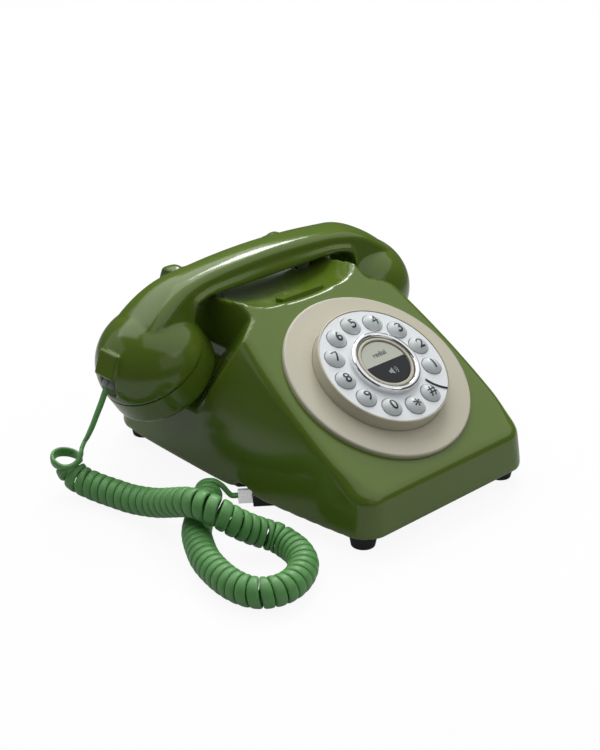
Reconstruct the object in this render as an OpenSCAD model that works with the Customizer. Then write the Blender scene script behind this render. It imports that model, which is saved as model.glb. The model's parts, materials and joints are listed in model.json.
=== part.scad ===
// Push-button desk telephone with a lift-off handset, in millimetres.
// Origin: on the table, under the middle of the telephone. +X to the user's right, +Y to the back, +Z up.

/* [Body] */
// Greatest half width of the housing at its bottom edge
body_half_w = 76.7; // [72:0.1:82]
// Place along Y where the housing is widest
body_wide_y = 35; // [20:1:50]
// Plan radius of the bowed side walls
side_bow_r = 711; // [500:1:1200]
// Inward lean of the side walls, per millimetre of height
side_lean = 0.06; // [0:0.01:0.1]
// Barrel curve of the side walls, per square millimetre of height
side_barrel = 0.002; // [0:0.0001:0.0025]
// Front bottom edge
front_y = -103.3; // [-112:0.1:-98]
// Back bottom edge
back_y = 103; // [99:0.5:112]
// Inward lean of the back wall, per millimetre of height
back_lean = 0.06; // [0:0.01:0.09]
// Height of the upright lip below the panel
lip_h = 22.6; // [18:0.1:26]
// Backward lean of the lip over its height
lip_lean = 2.5; // [0:0.1:5]
// Slope of the dial panel
panel_slope = 30.35; // [28:0.05:32]
// Wall thickness of the mouldings
wall = 2.5; // [2:0.1:3]
// Plan radius of the front corners
front_r = 12; // [8:0.5:16]
// Plan radius of the back corners
back_r = 20; // [12:0.5:26]
// Rounding of the panel's side edges
edge_r = 4; // [2:0.5:6]

/* [Base] */
// Height of the rubber feet
foot_h = 8; // [6:0.5:10]
// Radius of a foot at the top
foot_r = 8; // [6:0.5:9]
// Taper of a foot's radius
foot_taper = 1.5; // [0:0.1:3]
// Sideways place of the front feet
foot_front_x = 54; // [44:1:56]
// Sideways place of the rear feet
foot_rear_x = 62; // [50:1:64]
// Setback of the feet from the front and back edges
foot_inset = 13; // [11:0.5:20]
// Thickness of the base plate
plate_t = 2.5; // [2:0.1:3.5]
// Radius of the base screws' shanks
screw_r = 1.5; // [1.2:0.1:1.8]
// Radius of the screw posts in the housing
post_r = 4.5; // [3.5:0.1:5]

/* [Cradle] */
// Lowest height of the cradle valley
valley_z = 88.4; // [87:0.1:91]
// Radius of the valley, seen from the side
valley_r = 156; // [140:1:180]
// Half width between the outer faces of the rests
ridge_x = 44; // [42:0.5:45]
// Half width of the flat middle of the valley
valley_flat = 28; // [22:0.5:32]
// Radius that turns the valley up into the rests
valley_turn_r = 28.8; // [24:0.2:40]
// Crown radius of the valley from side to side
valley_crown_r = 220; // [160:5:400]
// Half width of the panel where the side notch begins
notch_x = 60; // [58:0.5:61]
// Height on the panel where the side notch begins
notch_z = 88.2; // [86:0.2:89]
// Plan angle of the notch faces
notch_yaw = 47; // [45:1:49]
// Upward tilt of the notch faces
notch_rise = 30; // [28:0.5:31]
// Gap under the handset's caps in the notches
notch_gap = 6; // [4.5:0.5:9]

/* [Dial] */
// Place of the dial's middle along Y
dial_y = -45; // [-47:0.5:-43]
// Radius of the dial surround
surround_r = 55; // [50:0.5:56]
// Thickness of the dial surround
surround_t = 2.8; // [2:0.1:4]
// Outer radius of the raised cup
cup_r = 38.7; // [38.2:0.1:40]
// Height of the face plate's top above the panel
face_z = 10.6; // [9.8:0.1:12]
// Thickness of the face plate
face_t = 1.6; // [1.2:0.1:2]
// Radius of the circle of keys
key_circle_r = 29.2; // [28.8:0.1:29.6]
// Step between keys
key_step = 29.04; // [28.5:0.02:29.3]
// Angle of the first key
key_start = -23.5; // [-26:0.5:-21]
// Radius of a key
key_r = 5.65; // [5.2:0.05:5.9]
// Height of a key's dome
dome_h = 2.8; // [2:0.1:3.4]
// Travel of the keys
key_travel = 1.5; // [1:0.1:1.7]
// Outer radius of the bright ring
ring_r = 20.2; // [19.6:0.1:21]
// Width of the bright ring
ring_w = 3.3; // [2.6:0.1:3.5]
// Height of the bright ring
ring_h = 4; // [3:0.1:5]
// Radius of the pair of half-round keys
half_key_r = 14.4; // [13.5:0.1:14.6]
// Width of the bezel round the half-round keys
bezel_w = 1.7; // [1.2:0.1:1.8]
// Height of the bezel
bezel_h = 3; // [2:0.1:3.6]

/* [Recall bar] */
// Length of the recall bar
bar_l = 31; // [26:0.5:36]
// Width of the recall bar
bar_w = 6.4; // [5:0.1:8]
// Height of the bar above the valley floor
bar_proud = 2.2; // [1.8:0.1:3]
// Place of the bar along Y
bar_y = 16.8; // [15.5:0.1:19]
// Tilt of the bar with the valley floor
bar_tilt = 10; // [8:0.5:13]

/* [Hook switch] */
// Rise of the plungers when the handset is lifted
hook_travel = 5; // [4:0.5:6]
// Radius of a plunger
plunger_r = 3.8; // [3:0.1:4.5]
// Half distance between the plungers
plunger_x = 34; // [32:0.5:35]
// Radius of the guide posts
guide_r = 3.5; // [3:0.1:4]
// Half distance between the guide posts
guide_x = 22; // [16:0.5:23]
// Height of the switch board's top
hook_board_z = 66; // [64:0.5:68]
// Wire of the hook springs
hook_wire = 0.8; // [0.6:0.1:1]

/* [Handset] */
// Place of the handset along Y
hs_y = 51; // [50:0.5:52]
// Half distance between the middles of the two bulbs
bulb_x = 80; // [79:0.5:84]
// Height of the bulbs' middles
bulb_z = 66; // [65:0.5:69]
// Radius of a bulb
bulb_r = 32; // [31:0.1:32.5]
// Height of a bulb's dome above its seam
dome_rise = 30; // [28:0.5:32]
// Inward tilt of the bulbs' faces
bulb_tilt = 33; // [30:0.5:36]
// Depth of a cap below its seam
cap_h = 18; // [15:0.5:18.5]
// Rounding of a cap's rim
cap_rim_r = 5; // [3:0.5:7]
// Height of the handle's top at the middle
handle_top = 115; // [113:0.5:120]
// Radius of the handle's arch
handle_arch_r = 450; // [380:5:600]
// Width of the handle at its top
handle_w_top = 20; // [16:0.5:24]
// Width of the handle at its bottom
handle_w_bottom = 30; // [26:0.5:31]
// Widening of the handle's half width at the bulbs
handle_flare = 6; // [3:0.5:7]
// Half length of the handle between the bulbs
neck_x = 58; // [56:0.5:60]
// Rounding of the handle's edges
handle_edge_r = 4; // [2:0.5:5]
// Wall of the handset
hs_wall = 2.5; // [2:0.1:3]

/* [Jacks and plugs] */
// Width of a handset plug
plug_w = 7.7; // [7.5:0.1:8]
// Height of a handset plug
plug_h = 6.2; // [6:0.1:6.6]
// Length of a handset plug outside its jack
plug_out = 8; // [6:0.5:8.5]
// Length of a handset plug inside its jack
plug_in = 6.5; // [5:0.5:8]
// Place of the base jack along Y
base_jack_y = -20.5; // [-24:0.5:-16]
// Turn of the base jack towards the front
base_jack_yaw = 37; // [25:1:42]
// Downward tilt of the handset's jack
hs_jack_tilt = 58; // [54:1:60]
// Distance of the handset's jack from the middle, along X
hs_jack_x = 107; // [106.5:0.5:108]
// Height of the handset's jack
hs_jack_z = 66; // [65:0.5:67]
// Width of the line jack's opening
line_jack_w = 11.8; // [11:0.1:12.5]
// Place of the line jack along X
line_jack_x = 30; // [20:1:34]
// Place of the ringer switch along X
ringer_x = -30; // [-36:1:-20]
// Travel of the ringer switch
ringer_travel = 4; // [2:0.5:4]

/* [Cord] */
// Width of the flat cord, along the coil
cord_w = 4.4; // [4:0.1:4.6]
// Thickness of the flat cord
cord_t = 2.4; // [2:0.1:2.6]
// Outer radius of the coil
coil_r = 8; // [7:0.1:8]
// Gap between neighbouring curls on a straight run
curl_gap = 0.9; // [0.8:0.05:1.2]
// Least gap between neighbouring curls, where the cord is squeezed in a bend
squeeze_gap = 0.55; // [0.5:0.05:0.8]
// Diameter of the straight ends
lead_d = 3.2; // [2.6:0.1:3.6]

/* [Fits] */
// Running gap between moving pieces
run_gap = 0.3; // [0.2:0.05:0.4]
// Gap between fixed pieces that fit together
seat_gap = 0.2; // [0.15:0.05:0.3]

/* [Hidden] */
$fn = 64;

green = [0.35, 0.43, 0.24];
beige = [0.76, 0.73, 0.66];
big = 400;

// Panel: the plane through the crease above the lip
crease_y = front_y + lip_lean;
crease_z = foot_h + lip_h;
function panel_z(y) = crease_z + (y - crease_y) * tan(panel_slope);
dial_z = panel_z(dial_y);
module on_panel() translate([0, dial_y, dial_z]) rotate([panel_slope, 0, 0]) children();

// Housing: horizontal sections lofted from the bottom edge to above the rests
function mix(a, b, t) = a + (b - a) * t;
function ease(t) = let (u = max(0, min(1, t))) u * u * (3 - 2 * u);
function soft_max(a, b, k) = let (h = max(k - abs(a - b), 0) / k) max(a, b) + h * h * k / 4;
crease_soft = 4;
corner_fade = 14;
function rise(z) = z - foot_h;
function half_w(y, z, inset) = body_half_w - pow(y - body_wide_y, 2) / (2 * side_bow_r)
  - side_lean * rise(z) - side_barrel * pow(rise(z), 2) - inset;
function lip_y(z, inset) = front_y + lip_lean * rise(z) / lip_h + inset;
function slope_y(z, inset) = crease_y + (z - crease_z) / tan(panel_slope) + inset / sin(panel_slope);
function front_at(z, inset) = soft_max(lip_y(z, inset), slope_y(z, inset), crease_soft);
back_barrel = 0.0009;
function back_at(z, inset) = back_y - back_lean * rise(z) - back_barrel * pow(rise(z), 2) - inset;
function corner_rx(z, inset) = max(1, mix(front_r, edge_r, ease((z - crease_z) / corner_fade)) - inset);
function corner_ry(z, inset) =
  max(1, mix(front_r, edge_r / sin(panel_slope), ease((z - crease_z) / corner_fade)) - inset);
arc_steps = 6;
side_steps = 6;
function turn_in(u) = 1 - sqrt(max(0, 1 - u * u));
function half_outline(z, inset) =
  let (yf = front_at(z, inset), yb = back_at(z, inset), rx = corner_rx(z, inset), ry = corner_ry(z, inset),
       rb = back_r - inset)
  concat(
    [for (k = [0:arc_steps]) let (u = cos(90 * k / arc_steps), y = yf + ry * (1 - u))
      [half_w(y, z, inset) - rx * turn_in(u), y]],
    [for (k = [1:side_steps - 1]) let (y = mix(yf + ry, yb - rb, k / side_steps)) [half_w(y, z, inset), y]],
    [for (k = [0:arc_steps]) let (u = sin(90 * k / arc_steps), y = yb - rb * (1 - u))
      [half_w(y, z, inset) - rb * turn_in(u), y]]);
function outline(z, inset) =
  let (h = half_outline(z, inset), n = len(h)) concat(h, [for (k = [n - 1:-1:0]) [-h[k][0], h[k][1]]]);
// A skin of rings joined by triangles, closed by flat ends
function skin_faces(rings, n) = concat(
  [[for (k = [n - 1:-1:0]) k]],
  [for (j = [0:rings - 2], k = [0:n - 1], half = [0, 1])
    let (a = j * n + k, b = j * n + (k + 1) % n) half == 0 ? [a, b, b + n] : [a, b + n, a + n]],
  [[for (k = [0:n - 1]) (rings - 1) * n + k]]);
loft_top = 106;
loft_z = concat(
  [foot_h, foot_h + 0.5 * lip_h],
  [for (d = [-4, -2, -1, 0, 1, 2, 3.5, 6, 10, 15]) crease_z + d],
  [for (k = [1:6]) mix(crease_z + 15, loft_top, k / 6)]);
module housing_loft(inset, drop) {
  zs = [for (k = [0:len(loft_z) - 1]) k == 0 ? loft_z[0] - drop : loft_z[k]];
  sections = [for (z = zs) [for (p = outline(z, inset)) [p[0], p[1], z]]];
  n = len(sections[0]);
  polyhedron([for (s = sections, p = s) p], [for (f = skin_faces(len(zs), n)) [for (k = [len(f) - 1:-1:0]) f[k]]]);
}

// Cradle: a valley turned about a high axis across the telephone
valley_edge = ridge_x + 14;
valley_steps = 16;
function valley_lift(x) = x * x / (2 * valley_crown_r)
  + (abs(x) > valley_flat ? pow(abs(x) - valley_flat, 2) / (2 * valley_turn_r) : 0);
function valley_floor(x, y) = valley_z + valley_r - sqrt(pow(valley_r, 2) - pow(y - hs_y, 2)) + valley_lift(x);
module valley_cut(extra) {
  xs = [for (k = [-valley_steps:valley_steps]) valley_edge * k / valley_steps];
  translate([0, hs_y, valley_z + valley_r]) rotate([0, 90, 0])
    rotate_extrude($fn = 200) polygon(concat(
      [[0, -valley_edge]], [for (x = xs) [valley_r + extra - valley_lift(x), x]], [[0, valley_edge]]));
}

// Bulbs: a frame at each end of the handset, its Z pointing away from the cap's face
module at_bulb(side) translate([side * bulb_x, hs_y, bulb_z]) rotate([0, side * bulb_tilt, 0]) children();

// Notches: room at each side for the handset's bulbs
notch_y = crease_y + (notch_z - crease_z) / tan(panel_slope);
module beyond(point, turn, extra) translate(point) rotate(turn) translate([-extra, -big / 2, -big / 2])
  cube([big, big, big]);
module notch_cut(side, extra) mirror([side > 0 ? 0 : 1, 0, 0]) intersection() {
  translate([ridge_x - extra, -big / 2, 0]) cube([big, big, big]);
  beyond([notch_x, notch_y, notch_z], [0, -notch_rise, notch_yaw], extra);
  beyond([notch_x, 2 * hs_y - notch_y, notch_z], [0, -notch_rise, -notch_yaw], extra);
  at_bulb(1) translate([-big / 2, -big / 2, -cap_h - notch_gap - extra]) cube([big, big, big]);
}

// Places of the screw posts: front pair under the panel, rear pair under the notch faces
post_inset = [24, 35];
post_front = [48, front_y + post_inset[0]];
post_rear = [56, back_y - post_inset[1]];
module each_post() for (p = [post_front, post_rear], side = [-1, 1]) translate([side * p[0], p[1], 0]) children();
plate_top = foot_h + plate_t;

// Jack places
jack_l = 14;
jack_wall = 1.5;
jack_lift = 1.5;
base_jack_z = plug_h / 2 + jack_wall + jack_lift;
base_jack_x = -half_w(base_jack_y, foot_h, 0) + plug_out - 3;
arch_r = plug_w / 2 + jack_wall + 1.2;
module at_base_jack() translate([base_jack_x, base_jack_y, base_jack_z]) rotate([0, 0, -base_jack_yaw]) children();
line_jack_h = 12;
line_jack_z = 24;
ringer_z = 28;
knob = 4;
dial_open_r = cup_r - 1.6;
hook_bore_gap = run_gap + 0.1;

module recall_frame() translate([0, bar_y, valley_floor(0, bar_y)]) rotate([-bar_tilt, 0, 0]) children();
module boxed(size, z0) translate([-size[0] / 2, -size[1] / 2, z0]) cube(size);

module housing_posts() {
  difference() {
    for (side = [-1, 1]) translate([side * post_front[0], post_front[1], plate_top + seat_gap])
      cylinder(r = post_r, h = panel_z(post_front[1]) - plate_top);
    on_panel() translate([-big / 2, -big / 2, -wall / 2]) cube([big, big, big]);
  }
  difference() {
    for (side = [-1, 1]) translate([side * post_rear[0], post_rear[1], plate_top + seat_gap])
      cylinder(r = post_r, h = valley_z - plate_top);
    for (side = [-1, 1]) notch_cut(side, wall / 2);
  }
  for (side = [-1, 1]) translate([side * guide_x, hs_y, hook_board_z])
    cylinder(r = guide_r, h = valley_floor(guide_x, hs_y) - hook_board_z - wall / 2);
}

module upper_housing() color(green) difference() {
  union() {
    difference() {
      housing_loft(0, 0);
      valley_cut(0);
      for (side = [-1, 1]) notch_cut(side, 0);
      difference() {
        housing_loft(wall, 1);
        valley_cut(wall);
        for (side = [-1, 1]) notch_cut(side, wall);
      }
    }
    housing_posts();
  }
  on_panel() translate([0, 0, -2 * wall]) cylinder(r = dial_open_r + seat_gap, h = 4 * wall);
  recall_frame() boxed([bar_l + 2 * run_gap, bar_w + 2 * run_gap, 3 * wall], -2 * wall);
  for (side = [-1, 1]) translate([side * plunger_x, hs_y, valley_z - 3 * wall])
    cylinder(r = plunger_r + hook_bore_gap, h = 6 * wall);
  each_post() translate([0, 0, foot_h]) cylinder(r = screw_r - 0.1, h = 16);
  for (side = [-1, 1]) translate([side * guide_x, hs_y, hook_board_z - 1]) cylinder(r = screw_r - 0.3, h = 10);
  at_base_jack() translate([-jack_l, 0, 0]) rotate([0, 90, 0]) cylinder(r = arch_r, h = 2 * jack_l);
  translate([line_jack_x, back_y - 8, line_jack_z]) boxed([line_jack_w + 1, 20, line_jack_h + 0.4], -0.2);
  translate([ringer_x, back_y - 8, ringer_z])
    boxed([knob + ringer_travel + 2 * run_gap, 20, knob + 2 * run_gap], -knob / 2 - run_gap);
}

// Base plate with its sockets, board pillars and sound slots
board_z = 20;
board_size = [96, 62, 1.6];
board_y = 58;
pillar_r = 3;
pillars = [for (x = [-1, 1], y = [-1, 1]) [x * (board_size[0] / 2 - 5), board_y + y * (board_size[1] / 2 - 5)]];
speaker_y = -42;
speaker_r = 25;
slot_count = 7;
slot_pitch = 6;
foot_spigot_r = 3;
function foot_places() = [for (x = [-1, 1]) [x * foot_front_x, front_y + foot_inset],
  for (x = [-1, 1]) [x * foot_rear_x, back_y - foot_inset - 4]];
module base_plate() color([0.16, 0.18, 0.16]) difference() {
  union() {
    translate([0, 0, foot_h]) linear_extrude(plate_t) polygon(outline(foot_h, wall + run_gap));
    for (p = pillars) translate([p[0], p[1], foot_h]) cylinder(r = pillar_r, h = board_z - foot_h);
    translate([0, speaker_y, foot_h]) difference() {
      cylinder(r = speaker_r + seat_gap + 2, h = plate_t + 5);
      translate([0, 0, -1]) cylinder(r = speaker_r + seat_gap, h = plate_t + 7);
    }
    translate([0, speaker_y, foot_h]) cylinder(r = speaker_r + 1, h = plate_t);
  }
  each_post() {
    translate([0, 0, foot_h - 1]) cylinder(r = screw_r + seat_gap, h = plate_t + 2);
    translate([0, 0, foot_h - 1]) cylinder(r = 2 * screw_r + seat_gap, h = 1 + plate_t / 2);
  }
  for (p = foot_places()) translate([p[0], p[1], foot_h - 1]) cylinder(r = foot_spigot_r + seat_gap, h = plate_t + 2);
  for (p = pillars) translate([p[0], p[1], foot_h + plate_t]) cylinder(r = 1, h = board_z);
  for (k = [0:slot_count - 1]) let (x = (k - (slot_count - 1) / 2) * slot_pitch)
    let (l = 2 * sqrt(pow(speaker_r - 3, 2) - x * x))
    translate([x, speaker_y, foot_h - 1]) boxed([2, l, plate_t + 2], 0);
  at_base_jack() translate([-jack_l, -plug_w / 2 - jack_wall - seat_gap, -base_jack_z + foot_h - 1])
    cube([2 * jack_l + seat_gap, plug_w + 2 * (jack_wall + seat_gap), plate_t + 2]);
}

module rubber_feet() color([0.06, 0.07, 0.08]) for (p = foot_places()) translate([p[0], p[1], 0]) {
  cylinder(r1 = foot_r - foot_taper, r2 = foot_r, h = foot_h);
  translate([0, 0, foot_h]) cylinder(r = foot_spigot_r, h = plate_t - 0.2);
}

module screw(r, l, head_h) {
  cylinder(r = 2 * r, h = head_h);
  cylinder(r = r, h = head_h + l);
}
module base_screws() color("silver") each_post() translate([0, 0, foot_h]) screw(screw_r - 0.1, 10, plate_t / 2);

// Dial pieces, in the panel's frame
cup_rim = 0.3;
cup_lip_w = 0.8;
face_r = cup_r - cup_lip_w - seat_gap;
cup_in_r = cup_r - 2.2;
cup_ledge = 3;
pcb_z = 0.6;
pcb_t = 1.6;
mat_t = 1.2;
boss_circle_r = 19.6;
boss_r = 2.2;
key_hole_r = key_r + 0.45;
half_hole_r = half_key_r + run_gap;
flange_z = face_z - face_t - seat_gap;
flange_t = 1.2;
key_flange_r = key_r + 1.2;
stem_r = 2.5;
stem_z = pcb_z + pcb_t + mat_t + key_travel + run_gap;
KEY_NAMES = ["1", "2", "3", "4", "5", "6", "7", "8", "9", "0", "star", "hash"];
module at_key(i) on_panel() rotate([0, 0, key_start + key_step * i]) translate([key_circle_r, 0, 0]) children();
module each_boss() for (a = [45:90:315]) rotate([0, 0, a]) translate([boss_circle_r, 0, 0]) children();
module turned(points) rotate_extrude($fn = 96) polygon(points);
function arc(cx, cy, r, a0, a1, n) = [for (k = [0:n]) let (a = mix(a0, a1, k / n)) [cx + r * cos(a), cy + r * sin(a)]];

module dial_surround() color(beige) on_panel() turned(concat(
  [[cup_r + seat_gap, 0], [surround_r, 0]],
  arc(surround_r - 1.2, surround_t - 1.2, 1.2, 0, 90, 4),
  [[cup_r + seat_gap, surround_t]]));

module dial_cup() color(beige) on_panel() turned(concat(
  [[cup_in_r - cup_ledge, -2 * wall], [dial_open_r, -2 * wall], [dial_open_r, 0], [cup_r, 0]],
  arc(cup_r - 0.6, face_z + cup_rim - 0.6, 0.6, 0, 90, 3),
  [[face_r + seat_gap, face_z + cup_rim], [face_r + seat_gap, face_z - face_t],
   [cup_in_r, face_z - face_t], [cup_in_r, pcb_z], [cup_in_r - cup_ledge, pcb_z]]));

module dial_face() color([0.9, 0.91, 0.92]) on_panel() difference() {
  union() {
    turned([[half_hole_r, face_z - face_t], [face_r, face_z - face_t], [face_r, face_z - 0.3],
            [face_r - 0.3, face_z], [half_hole_r, face_z]]);
    each_boss() translate([0, 0, pcb_z + pcb_t]) cylinder(r = boss_r, h = face_z - face_t / 2 - pcb_z - pcb_t);
  }
  for (i = [0:11]) rotate([0, 0, key_start + key_step * i]) translate([key_circle_r, 0, 0]) cylinder(r = key_hole_r, h = 3 * face_z);
  each_boss() cylinder(r = 1, h = face_z - 2 * face_t);
}

stop_w = 0.9;
stop_h = 0.6;
stop_bow_r = 20;
module finger_stop() color([0.2, 0.21, 0.22]) on_panel() translate([0, 0, face_z]) intersection() {
  rotate([0, 0, -46]) translate([(face_r + boss_circle_r) / 2 + 3, stop_bow_r - 2, 0]) difference() {
    cylinder(r = stop_bow_r + stop_w / 2, h = stop_h);
    translate([0, 0, -1]) cylinder(r = stop_bow_r - stop_w / 2, h = stop_h + 2);
  }
  difference() {
    cylinder(r = face_r - 0.4, h = stop_h);
    translate([0, 0, -1]) cylinder(r = ring_r + 4, h = stop_h + 2);
  }
  rotate([0, 0, -46]) translate([0, -6, -1]) cube([face_r, 12, stop_h + 2]);
}

module chrome_ring() color("lightgray") on_panel() turned(concat(
  [[ring_r - ring_w, face_z], [ring_r, face_z]],
  arc(ring_r - ring_w / 2, face_z + ring_h - ring_w / 2, ring_w / 2, 0, 180, 10)));

module centre_bezel() color(beige) on_panel() turned(concat(
  [[half_hole_r, face_z], [half_hole_r + bezel_w, face_z]],
  arc(half_hole_r + bezel_w - 0.6, face_z + bezel_h - 0.6, 0.6, 0, 90, 3),
  [[half_hole_r + 0.3, face_z + bezel_h], [half_hole_r, face_z + bezel_h - 0.3]]));

module keypad_mat() color([0.3, 0.32, 0.34]) on_panel() translate([0, 0, pcb_z + pcb_t]) difference() {
  union() {
    cylinder(r = cup_in_r - seat_gap, h = mat_t);
    for (i = [0:11]) rotate([0, 0, key_start + key_step * i]) translate([key_circle_r, 0, 0]) difference() {
      cylinder(r1 = stem_r + 2.4, r2 = stem_r + 1.6, h = mat_t + 1.4);
      translate([0, 0, mat_t]) cylinder(r = stem_r + 0.6, h = 5);
    }
  }
  each_boss() translate([0, 0, -1]) cylinder(r = boss_r + run_gap, h = 6);
}

module keypad_board() color([0.1, 0.35, 0.2]) on_panel() difference() {
  translate([0, 0, pcb_z]) cylinder(r = cup_in_r - seat_gap, h = pcb_t);
  each_boss() cylinder(r = 1.2, h = 6);
}
module keypad_screws() color("silver") on_panel() each_boss() translate([0, 0, pcb_z - 1.2]) screw(0.95, 5, 1.2);

dome_r = (key_r * key_r + dome_h * dome_h) / (2 * dome_h);
dome_base = face_z + 0.4;
module round_key() color([0.74, 0.77, 0.77]) turned(concat(
  [[0, stem_z], [stem_r, stem_z], [stem_r, flange_z - flange_t], [key_flange_r, flange_z - flange_t],
   [key_flange_r, flange_z], [key_r, flange_z]],
  arc(0, dome_base + dome_h - dome_r, dome_r, asin((dome_r - dome_h) / dome_r), 90, 7)));
module key(i) at_key(i) round_key();

half_top = face_z + bezel_h - 0.8;
split_gap = 0.5;
module half_key(side, tint) color(tint) on_panel() intersection() {
  turned([[0, stem_z], [half_hole_r + 1.4, stem_z], [half_hole_r + 1.4, flange_z], [half_key_r, flange_z],
          [half_key_r, half_top - 0.4], [half_key_r - 0.4, half_top], [0, half_top]]);
  translate([-big / 2, side > 0 ? split_gap / 2 : -big - split_gap / 2, stem_z]) cube([big, big, big]);
  union() {
    translate([0, 0, flange_z - flange_t]) cylinder(r = half_hole_r + 2, h = 20);
    translate([0, side * half_key_r / 2, 0]) cylinder(r = stem_r, h = 20);
  }
}
module redial_key() half_key(1, beige);
module speaker_key() half_key(-1, [0.2, 0.22, 0.24]);

// Recall bar: a push bar in the front slope of the cradle
bar_flange = wall + run_gap + 0.1;
bar_stem = 8;
module recall_bar() color(green) recall_frame() {
  boxed([bar_l, bar_w, bar_proud + bar_flange], -bar_flange);
  boxed([bar_l + 5, bar_w + 4, 1.6], -bar_flange - 1.6);
  translate([0, 0, -bar_flange - 1.6 - bar_stem]) cylinder(r = stem_r, h = bar_stem + 0.5);
}
recall_stem = [0, bar_y - (bar_flange + 1.6 + bar_stem) * sin(bar_tilt),
  valley_floor(0, bar_y) - (bar_flange + 1.6 + bar_stem) * cos(bar_tilt)];
bar_travel = bar_proud - 0.4;
module recall_switch() color([0.12, 0.12, 0.13]) translate([0, recall_stem[1] - 1, hook_board_z]) {
  boxed([6, 6, 3.5], 0);
  cylinder(r = 1.75, h = recall_stem[2] - hook_board_z - bar_travel - 2 * run_gap);
}

// Hook switch: a yoke with two plungers, guided on posts under the cradle
yoke_t = 4;
hs_under = valley_floor(ridge_x, hs_y - handle_w_bottom / 2) + run_gap;
yoke_top = valley_floor(0, hs_y) - wall - hook_travel - run_gap;
switch_h = 6.5;
module hook_yoke() color([0.85, 0.85, 0.82]) difference() {
  union() {
    translate([0, hs_y, yoke_top - yoke_t]) boxed([2 * (plunger_x + plunger_r + 0.6), 4 * guide_r, yoke_t], 0);
    for (side = [-1, 1]) translate([side * plunger_x, hs_y, yoke_top - 1])
      cylinder(r = plunger_r, h = hs_under - run_gap - yoke_top + 1);
    translate([0, hs_y, hook_board_z + switch_h + run_gap]) cylinder(r = 2, h = yoke_top - hook_board_z - switch_h - 1);
  }
  for (side = [-1, 1]) translate([side * guide_x, hs_y, 0]) cylinder(r = guide_r + run_gap, h = big);
}
module hook_switch() color([0.12, 0.12, 0.13]) translate([0, hs_y, hook_board_z]) boxed([13, 6, switch_h], 0);
hook_board_y0 = bar_y - 12;
module hook_board() color([0.1, 0.35, 0.2]) difference() {
  translate([-guide_x - 7, hook_board_y0, hook_board_z - pcb_t]) cube([2 * guide_x + 14, hs_y + 8 - hook_board_y0, pcb_t]);
  for (side = [-1, 1]) translate([side * guide_x, hs_y, 0]) cylinder(r = screw_r, h = big);
}
module hook_screws() color("silver") for (side = [-1, 1])
  translate([side * guide_x, hs_y, hook_board_z - pcb_t - 1.2]) screw(screw_r - 0.35, 6, 1.2);

// A tube swept along points, each ring turned with its own pair of axes
function unit(v) = v / norm(v);
function tangent(p, i) = unit(p[min(i + 1, len(p) - 1)] - p[max(i - 1, 0)]);
function side_axis(t) = abs(t[2]) > 0.95 ? [1, 0, 0] : unit(cross([0, 0, 1], t));
function ring_at(c, a, b, ra, rb, n) = [for (k = [0:n - 1]) c + ra * cos(360 * k / n) * a + rb * sin(360 * k / n) * b];
module tube(points, r, n) {
  rings = [for (i = [0:len(points) - 1])
    let (t = tangent(points, i), a = side_axis(t)) ring_at(points[i], a, cross(t, a), r, r, n)];
  polyhedron([for (g = rings, p = g) p], skin_faces_reversed(len(points), n));
}
function skin_faces_reversed(rings, n) = [for (f = skin_faces(rings, n)) [for (k = [len(f) - 1:-1:0]) f[k]]];

spring_turns = 6;
spring_rings = 8;
spring_r = guide_r + run_gap + hook_wire;
module hook_springs() color("silver") for (side = [-1, 1]) {
  z0 = hook_board_z + hook_wire / 2;
  z1 = yoke_top - yoke_t - hook_wire / 2;
  n = spring_turns * spring_rings;
  translate([side * guide_x, hs_y, 0]) tube([for (k = [0:n])
    [spring_r * cos(360 * k / spring_rings), spring_r * sin(360 * k / spring_rings), mix(z0, z1, k / n)]],
    hook_wire / 2, 6);
}

// Inner pieces on the base plate
module main_board() color([0.1, 0.35, 0.2]) difference() {
  translate([0, board_y, 0]) boxed(board_size, board_z);
  for (p = pillars) translate([p[0], p[1], 0]) cylinder(r = 1.3, h = big);
}
module board_screws() color("silver") for (p = pillars)
  translate([p[0], p[1], board_z + board_size[2] + 1.2]) mirror([0, 0, 1]) screw(0.95, 7, 1.2);
ballast_h = 6;
ballast_edge = [2 * (pillar_r + 10), 2 * (pillar_r + 7)];
module ballast_plate() color([0.45, 0.46, 0.48]) translate([0, board_y - 4, plate_top])
  boxed([board_size[0] - ballast_edge[0], board_size[1] - ballast_edge[1], ballast_h], 0);
module loudspeaker() color([0.15, 0.15, 0.16]) translate([0, speaker_y, plate_top]) turned([
  [0, 3], [speaker_r - 5, 0.8], [speaker_r - 5, 0], [speaker_r, 0], [speaker_r, 2.5], [speaker_r - 4, 2.5],
  [12, 10], [12, 16], [0, 16]]);

// A jack is a block with a socket for a plug, its mouth at x = 0 facing -X
module jack_block(l) difference() {
  translate([0, -plug_w / 2 - jack_wall, -plug_h / 2 - jack_wall])
    cube([l, plug_w + 2 * jack_wall, plug_h + 2 * jack_wall]);
  translate([-1, -plug_w / 2 - seat_gap, -plug_h / 2 - seat_gap])
    cube([plug_in + 1.2, plug_w + 2 * seat_gap, plug_h + 2 * seat_gap]);
}
// A plug is a clear block with its latch, its cable end at x = -plug_out
module plug_block() {
  translate([-plug_out, -plug_w / 2, -plug_h / 2]) cube([plug_out + plug_in, plug_w, plug_h - 1.4]);
  translate([-plug_out, -plug_w / 4, -plug_h / 2]) cube([plug_out + plug_in, plug_w / 2, plug_h]);
}
module base_jack() color([0.13, 0.14, 0.14]) at_base_jack() jack_block(jack_l);
module base_plug() color([0.85, 0.9, 0.9]) at_base_jack() plug_block();

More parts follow.
